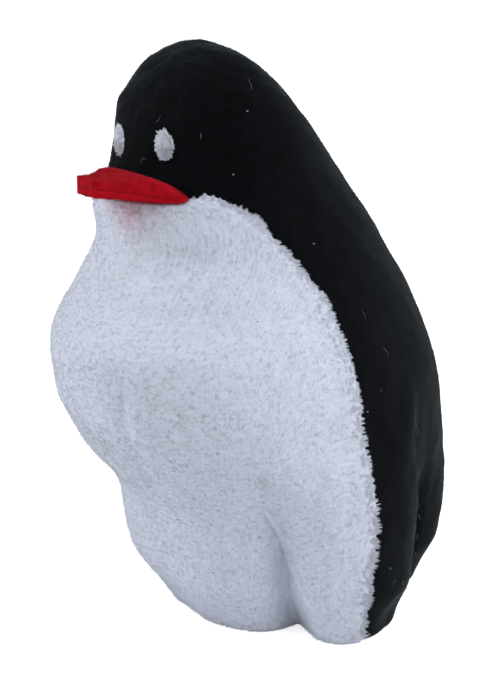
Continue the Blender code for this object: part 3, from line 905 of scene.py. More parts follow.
class PUPPET_OT_front(Operator):
    """Build the white front panel with its tufts, its pile and the fringe over its seams"""

    bl_idname = "puppet.front"
    bl_label = "Front panel"

    def execute(self, context):
        white = colours()["white"]
        random = np.random.default_rng(11)
        columns = int(FRONT_REACH / FRONT_STEP)
        across = np.linspace(-1.0, 1.0, columns)
        flap_heights, flap_depths = hem_profile()
        outside = even_heights(HEM_ROUNDING, MOUTH, 45.0, FRONT_STEP)
        heights = rows_of(np.concatenate([flap_heights, outside]), columns)
        depths = rows_of(np.concatenate([flap_depths, np.zeros(len(outside))]), columns)
        angles = across * seam_angle_at(heights)
        base = dressed(slit_rows(heights, across), angles, depths)
        normals = grid_normals(base)
        up, along = runs(base, 0), runs(base, 1)
        from_seam = np.minimum(along, along[:, -1:] - along)
        from_mouth = up[-1:] - up
        middle = along - along[:, -1:] / 2
        to_side = np.sign(middle)
        # On the near side of the throat the tufts run together into short upright ribs
        ribbed = smooth(49.0, 55.0, heights) * (1 - smooth(63.0, 68.0, heights)) * smooth(0.0, 25.0, angles)
        relief = self.relief(middle, up, from_seam, from_mouth, ribbed)
        # The panel's edge laps over the black, further here and less there
        lap = 0.35 + swells(up, to_side * 4, LAP_SWELLS)
        lap = lap * (1 - smooth(0.0, 1.6, from_seam)) * smooth(0.0, 1.5, from_mouth) * (depths == 0)
        outer = base + normals * relief[..., None]
        outer += unit(np.gradient(base, axis=1)) * (to_side * lap)[..., None]
        outer[..., 2] = np.maximum(outer[..., 2], 0.0)
        inside = rows_of(np.linspace(MOUTH, HEM_DEPTH + 0.3, 20), columns)
        inner = inner_rows(slit_rows(inside, across), across * seam_angle_at(inside) * 0.997)
        cloth = [white_velour(white), knit_back("white_knit_back", white)]
        flap_count = len(flap_heights)
        made = add_panel("front_cloth", outer, inner, flap_count, cloth)
        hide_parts("front_panel")
        hairs = white_pile(white)
        seamward = to_side * (1 - smooth(0.2, 1.8, from_seam))
        self.pile(outer, middle, up, ribbed, seamward, hairs, random)
        for side, column, sign in (("left", -1, 1), ("right", 0, -1)):
            self.fringe(side, outer, normals, column, sign, flap_count, hairs, random)
        return {"FINISHED"}

    def relief(self, middle, up, from_seam, from_mouth, ribbed):
        """How far the panel's face stands out: swells and tufts, calmer and rolled in at its edges."""
        size = sizes()
        width, height = size.tuft_width / MM, size.tuft_height / MM
        shift, lift = (0.2 * wander(middle, up, 2.4, seed) for seed in (1, 2))
        tuft = tufts(middle + shift, up + lift, width, height, 0.55, 7.0)[0]
        rib = tufts(middle, up, width * 1.1, height * 2.4, 0.4, 8.0)[0]
        tuft = share(tuft, rib, 0.75 * ribbed)
        calm = smooth(0.0, 0.4, from_seam) * smooth(0.0, 0.8, from_mouth)
        out = calm * swells(middle, up, WHITE_SWELLS) + size.tuft_depth / MM * calm * (tuft - 0.6)
        out += 0.3 * (1 - smooth(0.5, 4.0, from_seam)) * smooth(0.0, 2.0, from_mouth)
        out += rim_roll(from_seam, 0.3, 0.05) + rim_roll(from_mouth, 1.0, 0.6)
        return out

    def pile(self, outer, middle, up, ribbed, seamward, hairs, random):
        """Two pieces of short hairs, each over the whole panel, in locks that follow its tufts."""
        length = sizes().white_pile / MM
        normals = grid_normals(outer)
        rightward, upward = unit(np.gradient(outer, axis=1)), unit(np.gradient(outer, axis=0))
        leaning = rightward * seamward[..., None]
        spots = np.stack([middle, up, ribbed], axis=-1)
        for part in (1, 2):
            places = scatter(outer, WHITE_HAIRS, random)
            facing = between(normals, places)
            spot, rise, on_rib = between(spots, places).T
            # Hairs of one lock lean towards its tip, so that a small gap opens between locks
            _, small_aside, small_up = tufts(spot, rise, *SMALL_LOCKS)
            _, tall_aside, _ = tufts(spot, rise, *TALL_LOCKS)
            aside = share(small_aside * 0.4, tall_aside * 0.6, on_rib)
            raised = small_up * 0.4 * (1 - on_rib) - 0.05
            lengths = length * random.uniform(0.8, 1.1, WHITE_HAIRS)
            way = facing * lengths[:, None] + between(leaning, places) * 0.2
            way += between(rightward, places) * aside[:, None] + between(upward, places) * raised[:, None]
            way += random.normal(0.0, 0.06, way.shape)
            width = random.uniform(0.1, 0.15, WHITE_HAIRS)
            roots = between(outer, places) - facing * 0.1
            fibres(f"front_pile_{part}", roots, way, width, hairs, facing=facing)

    def fringe(self, side, cloth, normals, column, sign, first, hairs, random):
        """Locks of hair along the seam that stand out over the black."""
        length = sizes().fringe / MM
        rightward, upward = unit(np.gradient(cloth, axis=1)), unit(np.gradient(cloth, axis=0))
        run = runs(cloth[first:, column][:, None, :], 0)[:, 0]
        locks = int(run[-1] / FRINGE_SPACING)
        spot = random.random(locks) * run[-1]
        row = np.clip(np.searchsorted(run, spot), 1, len(run) - 1) + first
        inwards = np.abs(random.normal(0.0, 2.2, locks)).astype(int)
        inwards = column + np.where(column < 0, -1, 1) * inwards
        over, out, up = rightward[row, inwards] * sign, normals[row, inwards], upward[row, inwards]
        centre = cloth[row, inwards]
        kinds = (2.7, 0.4, 12.0 + column), (0.9, 0.3, 14.0 + column)
        swell = 0.45 + swells(spot, np.zeros(locks), kinds)
        reach = (length * np.maximum(swell, 0.1) * random.uniform(0.5, 1.0, locks))[:, None]
        if sign < 0:
            # The far side's fringe is short beside the beak
            reach *= 1 - 0.7 * smooth(run[-1] - 6.0, run[-1] - 1.0, spot)[:, None]
        tip = centre + over * reach + out * (0.15 + 0.25 * random.random((locks, 1)))
        tip += up * random.normal(0.0, 0.3, (locks, 1)) * reach
        parts = (centre, tip, over, out, up)
        centre, tip, over, out, up = (np.repeat(part, LOCK_HAIRS, axis=0) for part in parts)
        count = len(centre)
        roots = centre + up * random.normal(0, 0.16, (count, 1))
        roots -= over * random.uniform(0.0, 0.3, (count, 1)) + out * 0.12
        way = tip + random.normal(0, 0.1, (count, 3)) - roots
        width = random.uniform(0.07, 0.11, count)
        fibres(f"fringe_{side}", roots, way, width, hairs, facing=out * 0.7)


class PUPPET_OT_back(Operator):
    """Build the two black panels of the head and back with their short pile"""

    bl_idname = "puppet.back"
    bl_label = "Back panels"

    def execute(self, context):
        black, sheen = colours()["black"], colours()["black_sheen"]
        cloth = [black_velour(black, sheen), knit_back("black_knit_back", black)]
        hairs = black_pile(black, sheen)
        for side, sign, seed in (("left", 1, 21), ("right", -1, 22)):
            self.panel(side, sign, cloth, hairs, seed)
        return {"FINISHED"}

    def panel(self, side, sign, cloth, hairs, seed):
        """One black panel, from the side seam and the face's middle round to the back's middle."""
        flap_heights, flap_depths = hem_profile()
        outer = self.outer_face(flap_heights, flap_depths, sign, seed)
        inner = self.inner_face(sign)
        flap_count = len(flap_heights)
        made = add_panel(f"back_cloth_{side}", outer, inner, flap_count, cloth, sign)
        made.data.set_sharp_from_angle(angle=math.radians(60))
        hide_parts(f"back_panel_{side}")
        random = np.random.default_rng(seed)
        places = scatter(outer, BLACK_HAIRS, random)
        facing = between(grid_normals(outer), places)
        way = facing - between(unit(np.gradient(outer, axis=0)), places) * 0.4
        way += random.normal(0.0, 0.5, way.shape)
        lengths = sizes().black_pile / MM * random.uniform(0.5, 1.1, BLACK_HAIRS)
        roots = between(outer, places) - facing * 0.1
        width = random.uniform(0.07, 0.12, BLACK_HAIRS)
        mirror = np.array([sign, 1.0, 1.0])
        fibres(f"back_pile_{side}", roots * mirror, way * mirror, width, hairs, lengths)

    def angles(self, heights, starts):
        """Angles of each row: narrow columns along its front edge, then even ones round to the back."""
        joins = (np.where(heights < MOUTH, starts, MOUTH_CORNER) + LIP_ANGLE)[:, None]
        lip = share(starts[:, None], joins, np.linspace(0.0, 1.0, LIP_COLUMNS + 1)[:-1])
        rest = share(joins, 180.0, np.linspace(0.0, 1.0, int(BACK_REACH / BACK_STEP)))
        return np.concatenate([lip, rest], axis=1)

    def outer_face(self, flap_heights, flap_depths, sign, seed):
        """Points of the outer face, its rows from the hem's flap round its edge and up to the crown."""
        low = np.concatenate([flap_heights, even_heights(HEM_ROUNDING, MOUTH, 120.0, BACK_STEP)])
        slit = np.array([0.15, 0.3, 0.45, 0.6, 0.75, 0.85, 0.92, 0.97, 0.99, 1.0])
        slit_angles = MOUTH_CORNER * (1 - slit ** 2) ** (1 / MOUTH_SQUARENESS)
        above = height_at(np.linspace(station_of(MOUTH + MOUTH_HALF + 0.1), LAST_STATION - 0.04, 58))
        heights = np.concatenate([low, MOUTH + slit * MOUTH_HALF, above])
        depths = np.concatenate([flap_depths, np.zeros(len(heights) - len(flap_depths))])
        starts = np.concatenate([seam_angle_at(low), slit_angles, np.zeros(len(above))])
        angles = self.angles(heights, starts)
        row_height = rows_of(heights, angles.shape[1])
        base = dressed(row_height, angles, rows_of(depths, angles.shape[1]), sign)
        along, up = runs(base, 1), runs(base, 0)
        from_middle = along[:, -1:] - along
        slit_top = MOUTH + MOUTH_HALF * slit_share(angles)
        from_slit = np.hypot(row_height - slit_top, np.maximum(angles - MOUTH_CORNER, 0.0) * 0.3)
        from_edge = np.where(row_height < MOUTH, along, from_slit)
        edge_depth = share(0.72, 0.1, smooth(MOUTH - 3.0, MOUTH, heights))[:, None]
        relief = swells(from_middle, up, ((2.6, 0.1, seed), (6.0, 0.15, seed + 1)))
        relief = relief * smooth(0.0, 2.5, base[..., 0])
        relief += rim_roll(from_edge, 0.9, 1.0) * edge_depth + rim_roll(from_middle, 1.0, 0.08)
        outer = base + grid_normals(base) * relief[..., None]
        outer[..., 2] = np.maximum(outer[..., 2], 0.0)
        outer[:, -1, 0] = SEAM_LAP
        outer[starts == 0.0, 0, 0] = SEAM_LAP
        outer[..., 0] = np.maximum(outer[..., 0], SEAM_LAP)
        return outer

    def inner_face(self, sign):
        """Points of the inner face, its rows from the crown down to the hem's flap."""
        heights = height_at(np.linspace(LAST_STATION - 1.2, station_of(HEM_DEPTH + 0.3), 26))
        along_slit = np.interp(heights, (MOUTH, MOUTH + MOUTH_HALF), (MOUTH_CORNER, 0.0))
        angles = self.angles(heights, np.where(heights < MOUTH, seam_angle_at(heights), along_slit))
        inner = inner_rows(rows_of(heights, angles.shape[1]), angles, sign)
        inner[..., 0] = np.maximum(inner[..., 0], SEAM_LAP)
        return inner


def beak_half_width(forward):
    """Half width of the beak, from its base at 0 to its tip at 1."""
    base = dressed(np.array([MOUTH]), np.array([MOUTH_CORNER]))[0, 0] - 0.3
    narrow = BEAK_TIP + (base - BEAK_TIP) * np.clip(1 - forward, 0.0, 1.0) ** BEAK_SIDE_CURVE
    over = np.maximum(forward - 1 + BEAK_TIP_ROUNDING, 0.0) / BEAK_TIP_ROUNDING
    return narrow * (1 - 0.3 * over ** 2)


def face_front(x, height):
    """Y of the front of the face at this x and height."""
    angles = np.linspace(0.0, 90.0, 181)
    stations = station_of(np.asarray(height))
    out = np.zeros(np.broadcast(x, stations).shape)
    for place in np.ndindex(out.shape):
        line = skin(np.full(181, np.broadcast_to(stations, out.shape)[place]), angles)
        out[place] = np.interp(abs(np.broadcast_to(x, out.shape)[place]), line[:, 0], line[:, 1])
    return out


def slab_faces(rows, columns):
    """Faces of a closed slab, whose points are an upper grid and then a lower one."""
    index = np.arange(rows * columns).reshape(rows, columns)
    cells = np.stack([index[:-1, :-1], index[:-1, 1:], index[1:, 1:], index[1:, :-1]], axis=-1)
    cells = cells.reshape(-1, 4)
    rim = np.concatenate([index[0, :], index[1:, -1], index[-1, -2::-1], index[-2:0:-1, 0]])
    ahead, under = np.roll(rim, -1), rows * columns
    walls = np.stack([rim, ahead, ahead + under, rim + under], axis=-1)
    return np.concatenate([cells[:, ::-1], cells + under, walls]).tolist()


class PUPPET_OT_beak(Operator):
    """Build the two felt layers of the beak with their loose hairs"""

    bl_idname = "puppet.beak"
    bl_label = "Beak"

    def execute(self, context):
        red = colours()["red"]
        felt = red_felt("red_acrylic_felt", red)
        for name, side, seed in (("upper", 1, 31), ("lower", -1, 32)):
            shown = self.layer(name, side, felt, seed)
            hairs = red_felt(f"red_felt_hair_{name}", red)
            self.loose_hairs(name, shown, side, hairs, np.random.default_rng(seed))
        return {"FINISHED"}

    def layer(self, name, side, felt, seed):
        """One felt layer as a cushioned slab with cut edges. Gives the face that shows."""
        turn = np.linspace(-math.pi / 2, math.pi / 2, 61)
        across = np.sin(turn) * 0.35 + turn / (math.pi / 2) * 0.65
        forward = 1 - (1 - np.linspace(0.0, 1.0, 31)) ** 1.3
        u, f = np.meshgrid(across, np.concatenate([[-0.22, -0.11], forward]))
        bounded, inside = np.clip(f, 0.0, 1.0), np.minimum(f, 0.0)
        half = beak_half_width(bounded)
        # The layers thin to a point in the mouth's corners, part at their sewn edge and lie flat at the tip
        corner = np.abs(u) ** 4 * (1 - bounded) ** 1.5
        gap = SEAM_GAP / 2 * (1 - corner)
        thick = share(FELT, BEAK_CORNER_FELT, corner) * (1 - 0.15 * bounded)
        parted = (0.55 if side > 0 else 0.25) * (1 - bounded) ** 2 * (1 - u ** 2)
        middle = MOUTH + side * (gap + thick / 2 + parted) - BEAK_CORNER_DROOP * corner
        base_y = face_front(across * beak_half_width(0.0), MOUTH)[None, :] - SEAM_GAP
        y = share(base_y, BEAK_FRONT - 0.25, bounded) - inside * 8.0
        rise = math.tan(math.radians(BEAK_RISE)) * np.maximum(BEAK_FRONT + BEAK_LENGTH - y, 0.0)
        x = u * half * (1 + inside * 0.35)
        sheet = np.stack([x, y, middle + rise], axis=-1)
        to_side = (1 - np.abs(u)) * half
        to_tip = (1 - bounded) * (base_y - BEAK_FRONT)
        edge = np.clip(np.minimum(to_side, to_tip + 0.25) / 0.2, 0.0, 1.0)
        puff = 0.7 + 0.3 * np.sqrt(1 - (1 - edge) ** 2)
        wave = swells(x, y, ((1.7, 0.07, seed), (0.7, 0.05, seed + 3)))
        inner_side = (thick / 2 + gap + parted) * (0.8 + 0.2 * puff) - 0.01
        outer_side = (thick / 2 + wave * (1 - corner) + 0.05) * puff
        over, under = (outer_side, inner_side) if side > 0 else (inner_side, outer_side)
        upright = np.array([0.0, 0.0, 1.0])
        upper, lower = sheet + upright * over[..., None], sheet - upright * under[..., None]
        points = np.concatenate([upper.reshape(-1, 3), lower.reshape(-1, 3)])
        flat = np.stack([(u + 1) / 4.2 + 0.01, (f + 0.22) / 1.25 * 0.95 + 0.01], axis=-1).reshape(-1, 2)
        flat = np.concatenate([flat, flat + [0.5, 0.0]])
        faces = slab_faces(*u.shape)
        made = add_piece(f"beak_{name}_felt", points, faces, [felt], corner_map=flat)
        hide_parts(f"{name}_beak")
        return (upper if side > 0 else lower)[3:]

    def loose_hairs(self, name, face, side, felt, random):
        """Loose hairs of the felt on the face that shows, and some longer ones."""
        places = scatter(face, FELT_HAIRS, random)
        normals = grid_normals(face)
        facing = between(normals * np.sign(normals[..., 2:]) * side, places)
        way = facing * 0.45 + random.normal(0.0, 0.6, facing.shape)
        roots = between(face, places) - facing * 0.05
        lengths = random.uniform(0.15, 0.45, FELT_HAIRS)
        lengths = lengths * np.where(random.random(FELT_HAIRS) < 0.15, 1.8, 1.0)
        bend = random.normal(0.0, 0.1, facing.shape)
        width = np.full(FELT_HAIRS, 0.04)
        fibres(f"beak_{name}_hairs", roots, way, width, felt, lengths, bend, facing)


class PUPPET_OT_eyes(Operator):
    """Build the two sewn eyes of upright stitches"""

    bl_idname = "puppet.eyes"
    bl_label = "Eyes"

    def execute(self, context):
        shade = colours()["eye"]
        thread = plain_hair("white_embroidery_thread", darker(shade, 0.62), shade, 0.4)
        for side, place, seed in (("left", EYE_LEFT, 41), ("right", EYE_RIGHT, 42)):
            self.ground(side, place, thread)
            self.stitches(side, place, thread, np.random.default_rng(seed))
        return {"FINISHED"}

    def narrowing(self, part):
        """Width of the eye at a height from -0.5, its foot, to 0.5, its top."""
        return 0.92 + 0.25 * part

    def turned(self, side, place, x, z):
        """Angles of points of the leaning eye, by how far beside and above its middle they are."""
        return place[0] + x / degree_width(*place) - EYE_SIZES[side][2] * z

    def ground(self, side, place, thread):
        """Sewn ground of one eye, a low ragged dome with a sole that sits in the cloth."""
        wide, tall, _ = EYE_SIZES[side]
        angle, height = place
        rings, segments = 10, 40
        turns = np.linspace(0, math.tau, segments + 1)[:-1]
        ring, turn = np.meshgrid(np.linspace(1.0, 0.0, rings), turns, indexing="ij")
        ragged = 0.76 + 0.06 * wander(turn * 3.0, np.zeros_like(turn), 1.0, 3.0 + angle)
        x, z = ring * ragged * np.cos(turn) * wide / 2, ring * ragged * np.sin(turn) * tall / 2
        x = x * self.narrowing(z / tall)
        lift = 0.05 + 0.3 * (1 - ring ** 2) + 0.08 * wander(x, z, 0.5, angle) * (1 - ring ** 4)
        turned = self.turned(side, place, x, z)
        dome = on_cloth(turned, height + z, lift).reshape(-1, 3)
        sole = on_cloth(turned, height + z, np.full_like(x, -0.2)).reshape(-1, 3)
        index = np.arange(rings * segments).reshape(rings, segments)
        walls, under = ring_walls(index), rings * segments
        beside = np.roll(index[0], -1)
        rim = np.stack([index[0] + under, beside + under, beside, index[0]], axis=-1)
        faces = np.concatenate([walls, walls[:, ::-1] + under, rim]).tolist()
        points = np.concatenate([dome, sole])
        made = add_piece(f"eye_{side}_ground", points, faces, [thread])
        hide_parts(f"eye_{side}")

    def stitches(self, side, place, thread, random):
        """Threads in small locks that lean outwards, most of all at the top and foot of the eye."""
        wide, tall, _ = EYE_SIZES[side]
        height = place[1]
        radius, around = np.sqrt(random.random(EYE_LOCKS)), random.random(EYE_LOCKS) * math.tau
        x, z = radius * np.cos(around) * wide / 2 * 0.84, radius * np.sin(around) * tall / 2 * 0.84
        x = x * self.narrowing(z / tall)
        tip_x = x * 1.16 + random.normal(0, 0.11, EYE_LOCKS)
        tip_z = z * 1.12 + np.sign(z) * random.uniform(0.0, 0.3, EYE_LOCKS)
        tip_z = tip_z + random.normal(0, 0.1, EYE_LOCKS)
        tip_lift = 0.3 + 0.5 * (1 - radius ** 2) + random.uniform(0.0, 0.25, EYE_LOCKS)
        locks = (x, z, radius, tip_x, tip_z, tip_lift)
        x, z, radius, tip_x, tip_z, tip_lift = (np.repeat(part, LOCK_HAIRS) for part in locks)
        count = len(x)
        x, z = x + random.normal(0, 0.12, count), z + random.normal(0, 0.14, count)
        tip_x, tip_z = tip_x + random.normal(0, 0.05, count), tip_z + random.normal(0, 0.07, count)
        turned = self.turned(side, place, x, z)
        roots = on_cloth(turned, height + z, 0.25 * (1 - radius ** 2))
        ends = on_cloth(self.turned(side, place, tip_x, tip_z), height + tip_z, tip_lift)
        width = random.uniform(0.07, 0.11, count)
        facing = skin_normal(station_of(height + z), turned) * 0.5
        fibres(f"eye_{side}_stitches", roots, ends - roots, width, thread, facing=facing)


def strand(path, width, sides=5):
    """Points and faces of a thin closed thread along a path, tapered to both ends."""
    count = len(path)
    ahead = unit(np.gradient(path, axis=0))
    aside = unit(np.cross(ahead, np.array([0.31, 0.57, 0.76])))
    other = np.cross(ahead, aside)
    radius = width / 2 * np.sqrt(np.sin(np.linspace(0.12, math.pi - 0.12, count)))[:, None]
    turns = [math.tau * side / sides for side in range(sides)]
    rings = [path + (math.cos(turn) * aside + math.sin(turn) * other) * radius for turn in turns]
    index = np.arange(count * sides).reshape(count, sides)
    faces = [*ring_walls(index).tolist(), index[0, ::-1].tolist(), index[-1].tolist()]
    return np.stack(rings, axis=1).reshape(-1, 3), faces


def add_strands(name, paths, widths, material):
    """One piece of many thin threads."""
    points, faces, count = [], [], 0
    for path, width in zip(paths, widths):
        more, sides = strand(path, width)
        points.append(more)
        faces += [[corner + count for corner in face] for face in sides]
        count += len(more)
    flat = np.concatenate(points)
    flat[:, 2] = np.maximum(flat[:, 2], 0.05)
    return add_piece(name, flat, faces, [material])


def winding(heading, step):
    """Ways beside and above its middle of a hair that takes equal steps on these headings."""
    beside, rise = np.cumsum(np.cos(heading)) * step, np.cumsum(np.sin(heading)) * step
    return beside - beside.mean(), rise - rise.mean()


# Loose hairs and specks caught in the pile: angle, height, length, and heading and curl in degrees
DARK_LINT = (
    (26.0, 10.6, 2.6, 50, 40), (22.5, 11.9, 0.35, 0, 0), (51.0, 32.3, 1.3, 170, 60),
    (52.0, 29.0, 1.5, 110, 30), (48.0, 36.7, 1.2, 20, 200), (53.5, 47.9, 1.9, 0, 300),
    (22.0, 56.3, 1.0, 150, 40), (60.0, 43.0, 1.2, 30, 150), (38.0, 60.5, 1.0, 75, 30),
    (33.0, 61.6, 0.9, 80, 20), (74.0, 33.0, 1.1, 60, 60), (67.0, 16.0, 1.0, 65, 20),
    (18.0, 44.0, 0.8, 20, 60), (5.0, 33.0, 0.7, 130, 40), (-5.0, 50.0, 0.8, 40, 80),
    (58.0, 23.0, 0.8, 100, 50), (30.0, 24.0, 0.6, 10, 30), (40.0, 18.0, 0.3, 0, 0),
    (63.0, 52.0, 0.3, 0, 0), (12.0, 20.0, 0.3, 0, 0), (-30.0, 40.0, 0.9, 60, 90),
    (-60.0, 30.0, 1.1, 20, 60), (-70.0, 45.0, 0.8, 120, 40), (-40.0, 14.0, 0.7, 70, 20),
)
PALE_LINT = (
    (87.0, 83.1, 1.6, 40, 60), (120.0, 81.5, 2.2, 160, 120), (88.0, 61.1, 0.3, 0, 0),
    (12.0, 78.6, 1.2, 40, 40), (41.5, 77.0, 0.9, 60, 60), (8.0, 73.2, 1.4, 120, 160),
    (91.0, 36.7, 0.4, 0, 0), (97.0, 39.1, 0.7, 10, 40), (104.0, 44.0, 1.6, 80, 50),
    (100.0, 50.0, 1.4, 85, 40), (108.5, 31.0, 2.4, 92, 15), (105.5, 24.0, 2.0, 88, 20),
    (104.0, 18.0, 1.6, 95, 50), (129.0, 12.5, 1.8, 80, 100), (102.0, 13.5, 1.5, 170, 120),
    (100.0, 11.0, 1.0, 60, 200), (86.0, 9.4, 1.5, 60, 250), (90.0, 8.4, 1.7, 100, 280),
    (93.0, 7.4, 1.2, 20, 300), (88.0, 6.2, 1.0, 150, 200), (84.0, 12.0, 1.2, 30, 260),
    (60.0, 72.0, 0.3, 0, 0), (75.0, 80.0, 0.3, 0, 0), (150.0, 50.0, 1.2, 40, 80),
    (165.0, 35.0, 1.4, 70, 120), (172.0, 62.0, 0.9, 20, 60), (-120.0, 40.0, 1.2, 60, 80),
    (-150.0, 25.0, 1.1, 30, 100), (-100.0, 60.0, 0.9, 80, 60), (-60.0, 78.0, 0.8, 40, 40),
    (-135.0, 70.0, 1.2, 100, 90), (-175.0, 15.0, 1.0, 60, 40),
)


# Lint shorter than this is a speck
SPECK = 0.5
FLUFF_HAIRS = 150


class PUPPET_OT_lint(Operator):
    """Build the stray hairs and specks in the pile and the red fluff under the beak"""

    bl_idname = "puppet.lint"
    bl_label = "Lint"

    def execute(self, context):
        dark = plain_hair("grey_brown_wool_hair", linear("#5A5A62"), linear("#86827E"))
        pale = plain_hair("pale_cotton_lint", linear("#5E6060"), linear("#9C9E9E"))
        self.lie("lint_on_white", DARK_LINT, 0.05, 0.5, dark, "black_velour", 51)
        self.lie("lint_on_black", PALE_LINT, 0.035, 0.35, pale, "white_thread", 52)
        self.fluff()
        return {"FINISHED"}

    def lie(self, name, places, width, lift, material, slot, seed):
        """Hairs that lie on the tips of the pile, and specks where the length is short."""
        random = np.random.default_rng(seed)
        paths, widths = [], []
        for angle, height, length, way, curl in places:
            speck = length < SPECK
            part = np.linspace(0.0, 1.0, 5 if speck else 16)
            swing = (0 if speck else 12) * np.sin(part * 9 + random.random() * 6)
            beside, rise = winding(np.radians(way + curl * part + swing), length / (len(part) - 1))
            stand = lift + (0 if speck else 0.15) * np.sin(part * math.pi) * random.random()
            paths.append(on_cloth(angle + beside / degree_width(angle, height), height + rise, stand))
            widths.append(0.18 if speck else width)
        add_strands(name, paths, widths, material)

    def fluff(self):
        """Fine red hairs that the felt has shed on the throat."""
        random = np.random.default_rng(53)
        red, white = (np.array(colours()[name]) for name in ("red", "white"))
        dark, light = (share(red, white, part).tolist() for part in (0.25, 0.5))
        paths, widths = [], []
        for _ in range(FLUFF_HAIRS):
            angle, drop = random.normal(8.0, 13.0), abs(random.normal(0.0, 1.1))
            height = MOUTH - MOUTH_HALF - 0.4 - drop
            part = np.linspace(0.0, 1.0, 7)
            heading = random.uniform(0, math.tau) + random.normal(0.0, 1.5) * part
            beside, rise = winding(heading, random.uniform(0.5, 1.6) / 6)
            stand = 0.35 + 0.25 * random.random() * np.sin(part * math.pi)
            paths.append(on_cloth(angle + beside / 0.3, height + rise * 0.7, stand))
            widths.append(random.uniform(0.02, 0.035))
        add_strands("red_fluff", paths, widths, plain_hair("shed_red_acrylic", dark, light))


class PUPPET_OT_filling(Operator):
    """Build the wad of fibrefill that keeps the head round"""

    bl_idname = "puppet.filling"
    bl_label = "Filling"

    def execute(self, context):
        fill = colours()["filling"]
        made_of = plain_hair("polyester_fibrefill", darker(fill, 0.75), fill)
        rows, columns = 40, 72
        stations = np.linspace(station_of(MOUTH - 5.4), LAST_STATION - 0.6, rows)
        angles = np.linspace(0.0, 360.0, columns + 1)[:-1]
        station, angle = np.meshgrid(stations, angles, indexing="ij")
        clump = 0.5 * wander(angle / 9, station * 3, 1.3, 5.0)
        clump += 0.25 * wander(angle / 5, station * 5, 0.9, 6.0)
        points = skin(station, angle) - skin_normal(station, angle) * (3.4 + clump)[..., None]
        index = np.arange(rows * columns).reshape(rows, columns)
        faces = ring_walls(index).tolist()
        rings = [index[0]]
        flat = [points.reshape(-1, 3)]
        centre = points[0].mean(axis=0)
        count = rows * columns
        for part in (0.8, 0.6, 0.4, 0.2):
            ring = share(centre, points[0], part)
            sag = 2.2 * (1 - part ** 2) + 0.5 * wander(ring[:, 0], ring[:, 1], 1.8, 9.0)
            flat.append(ring - np.array([0, 0, 1.0]) * sag[:, None])
            rings.append(np.arange(count, count + columns))
            count += columns
        for outer, inner in zip(rings, rings[1:]):
            faces += np.stack([np.roll(outer, -1), outer, inner, np.roll(inner, -1)], axis=-1).tolist()
        faces.append(rings[-1][::-1].tolist())
        faces.append(index[-1].tolist())
        made = add_piece("head_wad", np.concatenate(flat), faces, [made_of])
        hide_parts("head_filling")
        return {"FINISHED"}


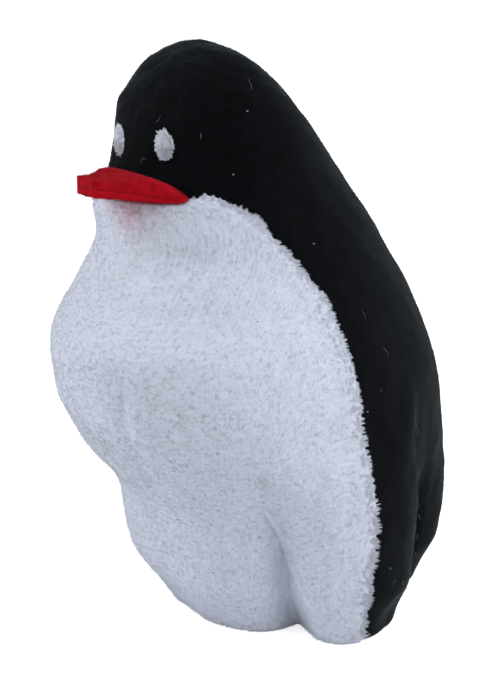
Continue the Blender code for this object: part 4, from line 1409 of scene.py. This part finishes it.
class PUPPET_OT_stage(Operator):
    """Build the pale floor, the soft lamps and the camera"""

    bl_idname = "puppet.stage"
    bl_label = "Stage"

    def execute(self, context):
        self.floor()
        self.world()
        self.lamps()
        self.camera()
        context.scene.view_settings.view_transform = "Standard"
        return {"FINISHED"}

    def floor(self):
        """Pale floor that the camera sees as white, with the puppet's soft shadow on it."""
        mesh = bpy.data.meshes.new("floor")
        square = ((-1, -1), (1, -1), (1, 1), (-1, 1))
        corners = [(x * FLOOR_REACH, y * FLOOR_REACH, 0) for x, y in square]
        mesh.from_pydata(corners, [], [(0, 1, 2, 3)])
        made, tree, place = new_material("matt_white_paper")
        tone = two_tones(tree, place, 40.0, linear("#ECECEE"), linear("#F0F0F2"))
        paper = add_node(tree, "ShaderNodeBsdfDiffuse", {"Color": tone})
        rays = add_node(tree, "ShaderNodeLightPath").outputs
        seen = add_node(
            tree,
            "ShaderNodeMath",
            {0: rays["Is Camera Ray"], 1: rays["Is Glossy Ray"]},
            operation="MAXIMUM",
        )
        glow = add_node(
            tree, "ShaderNodeMath", {0: seen.outputs[0], 1: FLOOR_GLOW}, operation="MULTIPLY"
        )
        lit = add_node(tree, "ShaderNodeEmission", {"Color": (1, 1, 1, 1), "Strength": glow.outputs[0]})
        both = add_node(tree, "ShaderNodeAddShader", {0: paper.outputs[0], 1: lit.outputs[0]})
        add_node(tree, "ShaderNodeOutputMaterial", {"Surface": both.outputs[0]})
        mesh.materials.append(made)
        floor = bpy.data.objects.new("floor", mesh)
        bpy.context.scene.collection.objects.link(floor)

    def world(self):
        """Pale sky for light, and plain white where the camera sees it."""
        world = bpy.data.worlds.new("pale_room")
        bpy.context.scene.world = world
        world.use_nodes = True
        tree = world.node_tree
        tree.nodes.clear()
        rays = add_node(tree, "ShaderNodeLightPath").outputs
        seen = add_node(
            tree,
            "ShaderNodeMath",
            {0: rays["Is Camera Ray"], 1: rays["Is Transmission Ray"]},
            operation="MAXIMUM",
        )
        room = add_node(
            tree, "ShaderNodeBackground", {"Color": (0.96, 0.97, 1.0, 1), "Strength": ROOM_LIGHT}
        )
        white = add_node(tree, "ShaderNodeBackground", {"Color": (1, 1, 1, 1), "Strength": 1.0})
        mix = add_node(
            tree, "ShaderNodeMixShader", {0: seen.outputs[0], 1: room.outputs[0], 2: white.outputs[0]}
        )
        add_node(tree, "ShaderNodeOutputWorld", {"Surface": mix.outputs[0]})

    def lamps(self):
        """Broad soft lamps: the main one on the right of the camera, and weaker ones left and behind."""
        for name, angle, out, height, width, watts, tint in LAMPS:
            light = bpy.data.lights.new(name, "AREA")
            light.shape, light.size, light.energy, light.color = "DISK", width, watts, tint
            lamp = bpy.data.objects.new(name, light)
            turn = math.radians(angle)
            place = np.array([out * math.sin(turn), -out * math.cos(turn), height])
            self.point_at(lamp, place, np.array([0.0, 0.0, LAMP_AIM]))
            bpy.context.scene.collection.objects.link(lamp)

    def camera(self):
        """The photograph's camera."""
        lens = FOCAL_PIXELS / max(PICTURE) * SENSOR
        data = bpy.data.cameras.new("camera")
        data.sensor_width, data.lens = SENSOR, lens
        data.clip_start, data.clip_end = 0.01, 20.0
        camera = bpy.data.objects.new("camera", data)
        turn = math.radians(CAMERA_ANGLE)
        place = np.array([CAMERA_OUT * math.sin(turn), -CAMERA_OUT * math.cos(turn), CAMERA_HEIGHT])
        place, aim = place + MOVED, np.array([0.0, 0.0, AIM_HEIGHT]) + MOVED
        ahead = unit(aim - place)
        right = np.array([math.cos(turn), math.sin(turn), 0.0])
        up = np.cross(right, ahead)
        self.point_at(camera, place, aim - right * AIM_LEFT - up * AIM_DOWN)
        bpy.context.scene.collection.objects.link(camera)
        bpy.context.scene.camera = camera

    def point_at(self, thing, place, aim):
        """Put a lamp or camera at a place, looking at the aim, both in millimetres."""
        thing.location = Vector(place * MM)
        thing.rotation_mode = "QUATERNION"
        thing.rotation_quaternion = Vector(aim - place).to_track_quat("-Z", "Y")


class PUPPET_PT_sidebar(Panel):
    """Steps that build the puppet"""

    bl_idname = "PUPPET_PT_sidebar"
    bl_label = "Plush finger puppet"
    bl_space_type = "VIEW_3D"
    bl_region_type = "UI"
    bl_category = "Puppet"

    def draw(self, context):
        layout = self.layout
        for group in (context.scene.puppet_sizes, context.scene.puppet_colours):
            for name in group.__annotations__:
                layout.prop(group, name)
        for step in STEPS:
            layout.operator(step.bl_idname)


STEPS = (
    PUPPET_OT_front,
    PUPPET_OT_back,
    PUPPET_OT_beak,
    PUPPET_OT_eyes,
    PUPPET_OT_filling,
    PUPPET_OT_lint,
    PUPPET_OT_stage,
)
CLASSES = (PuppetSizes, PuppetColours, *STEPS, PUPPET_PT_sidebar)


def register():
    """Make the add-on's classes and settings known."""
    for kind in CLASSES:
        bpy.utils.register_class(kind)
    bpy.types.Scene.puppet_sizes = PointerProperty(type=PuppetSizes)
    bpy.types.Scene.puppet_colours = PointerProperty(type=PuppetColours)


def unregister():
    """Take the add-on's classes and settings away."""
    del bpy.types.Scene.puppet_colours
    del bpy.types.Scene.puppet_sizes
    for kind in reversed(CLASSES):
        bpy.utils.unregister_class(kind)


def main():
    """Build every piece in order."""
    register()
    for step in STEPS:
        group, name = step.bl_idname.split(".")
        getattr(getattr(bpy.ops, group), name)()


if __name__ == "__main__":
    main()
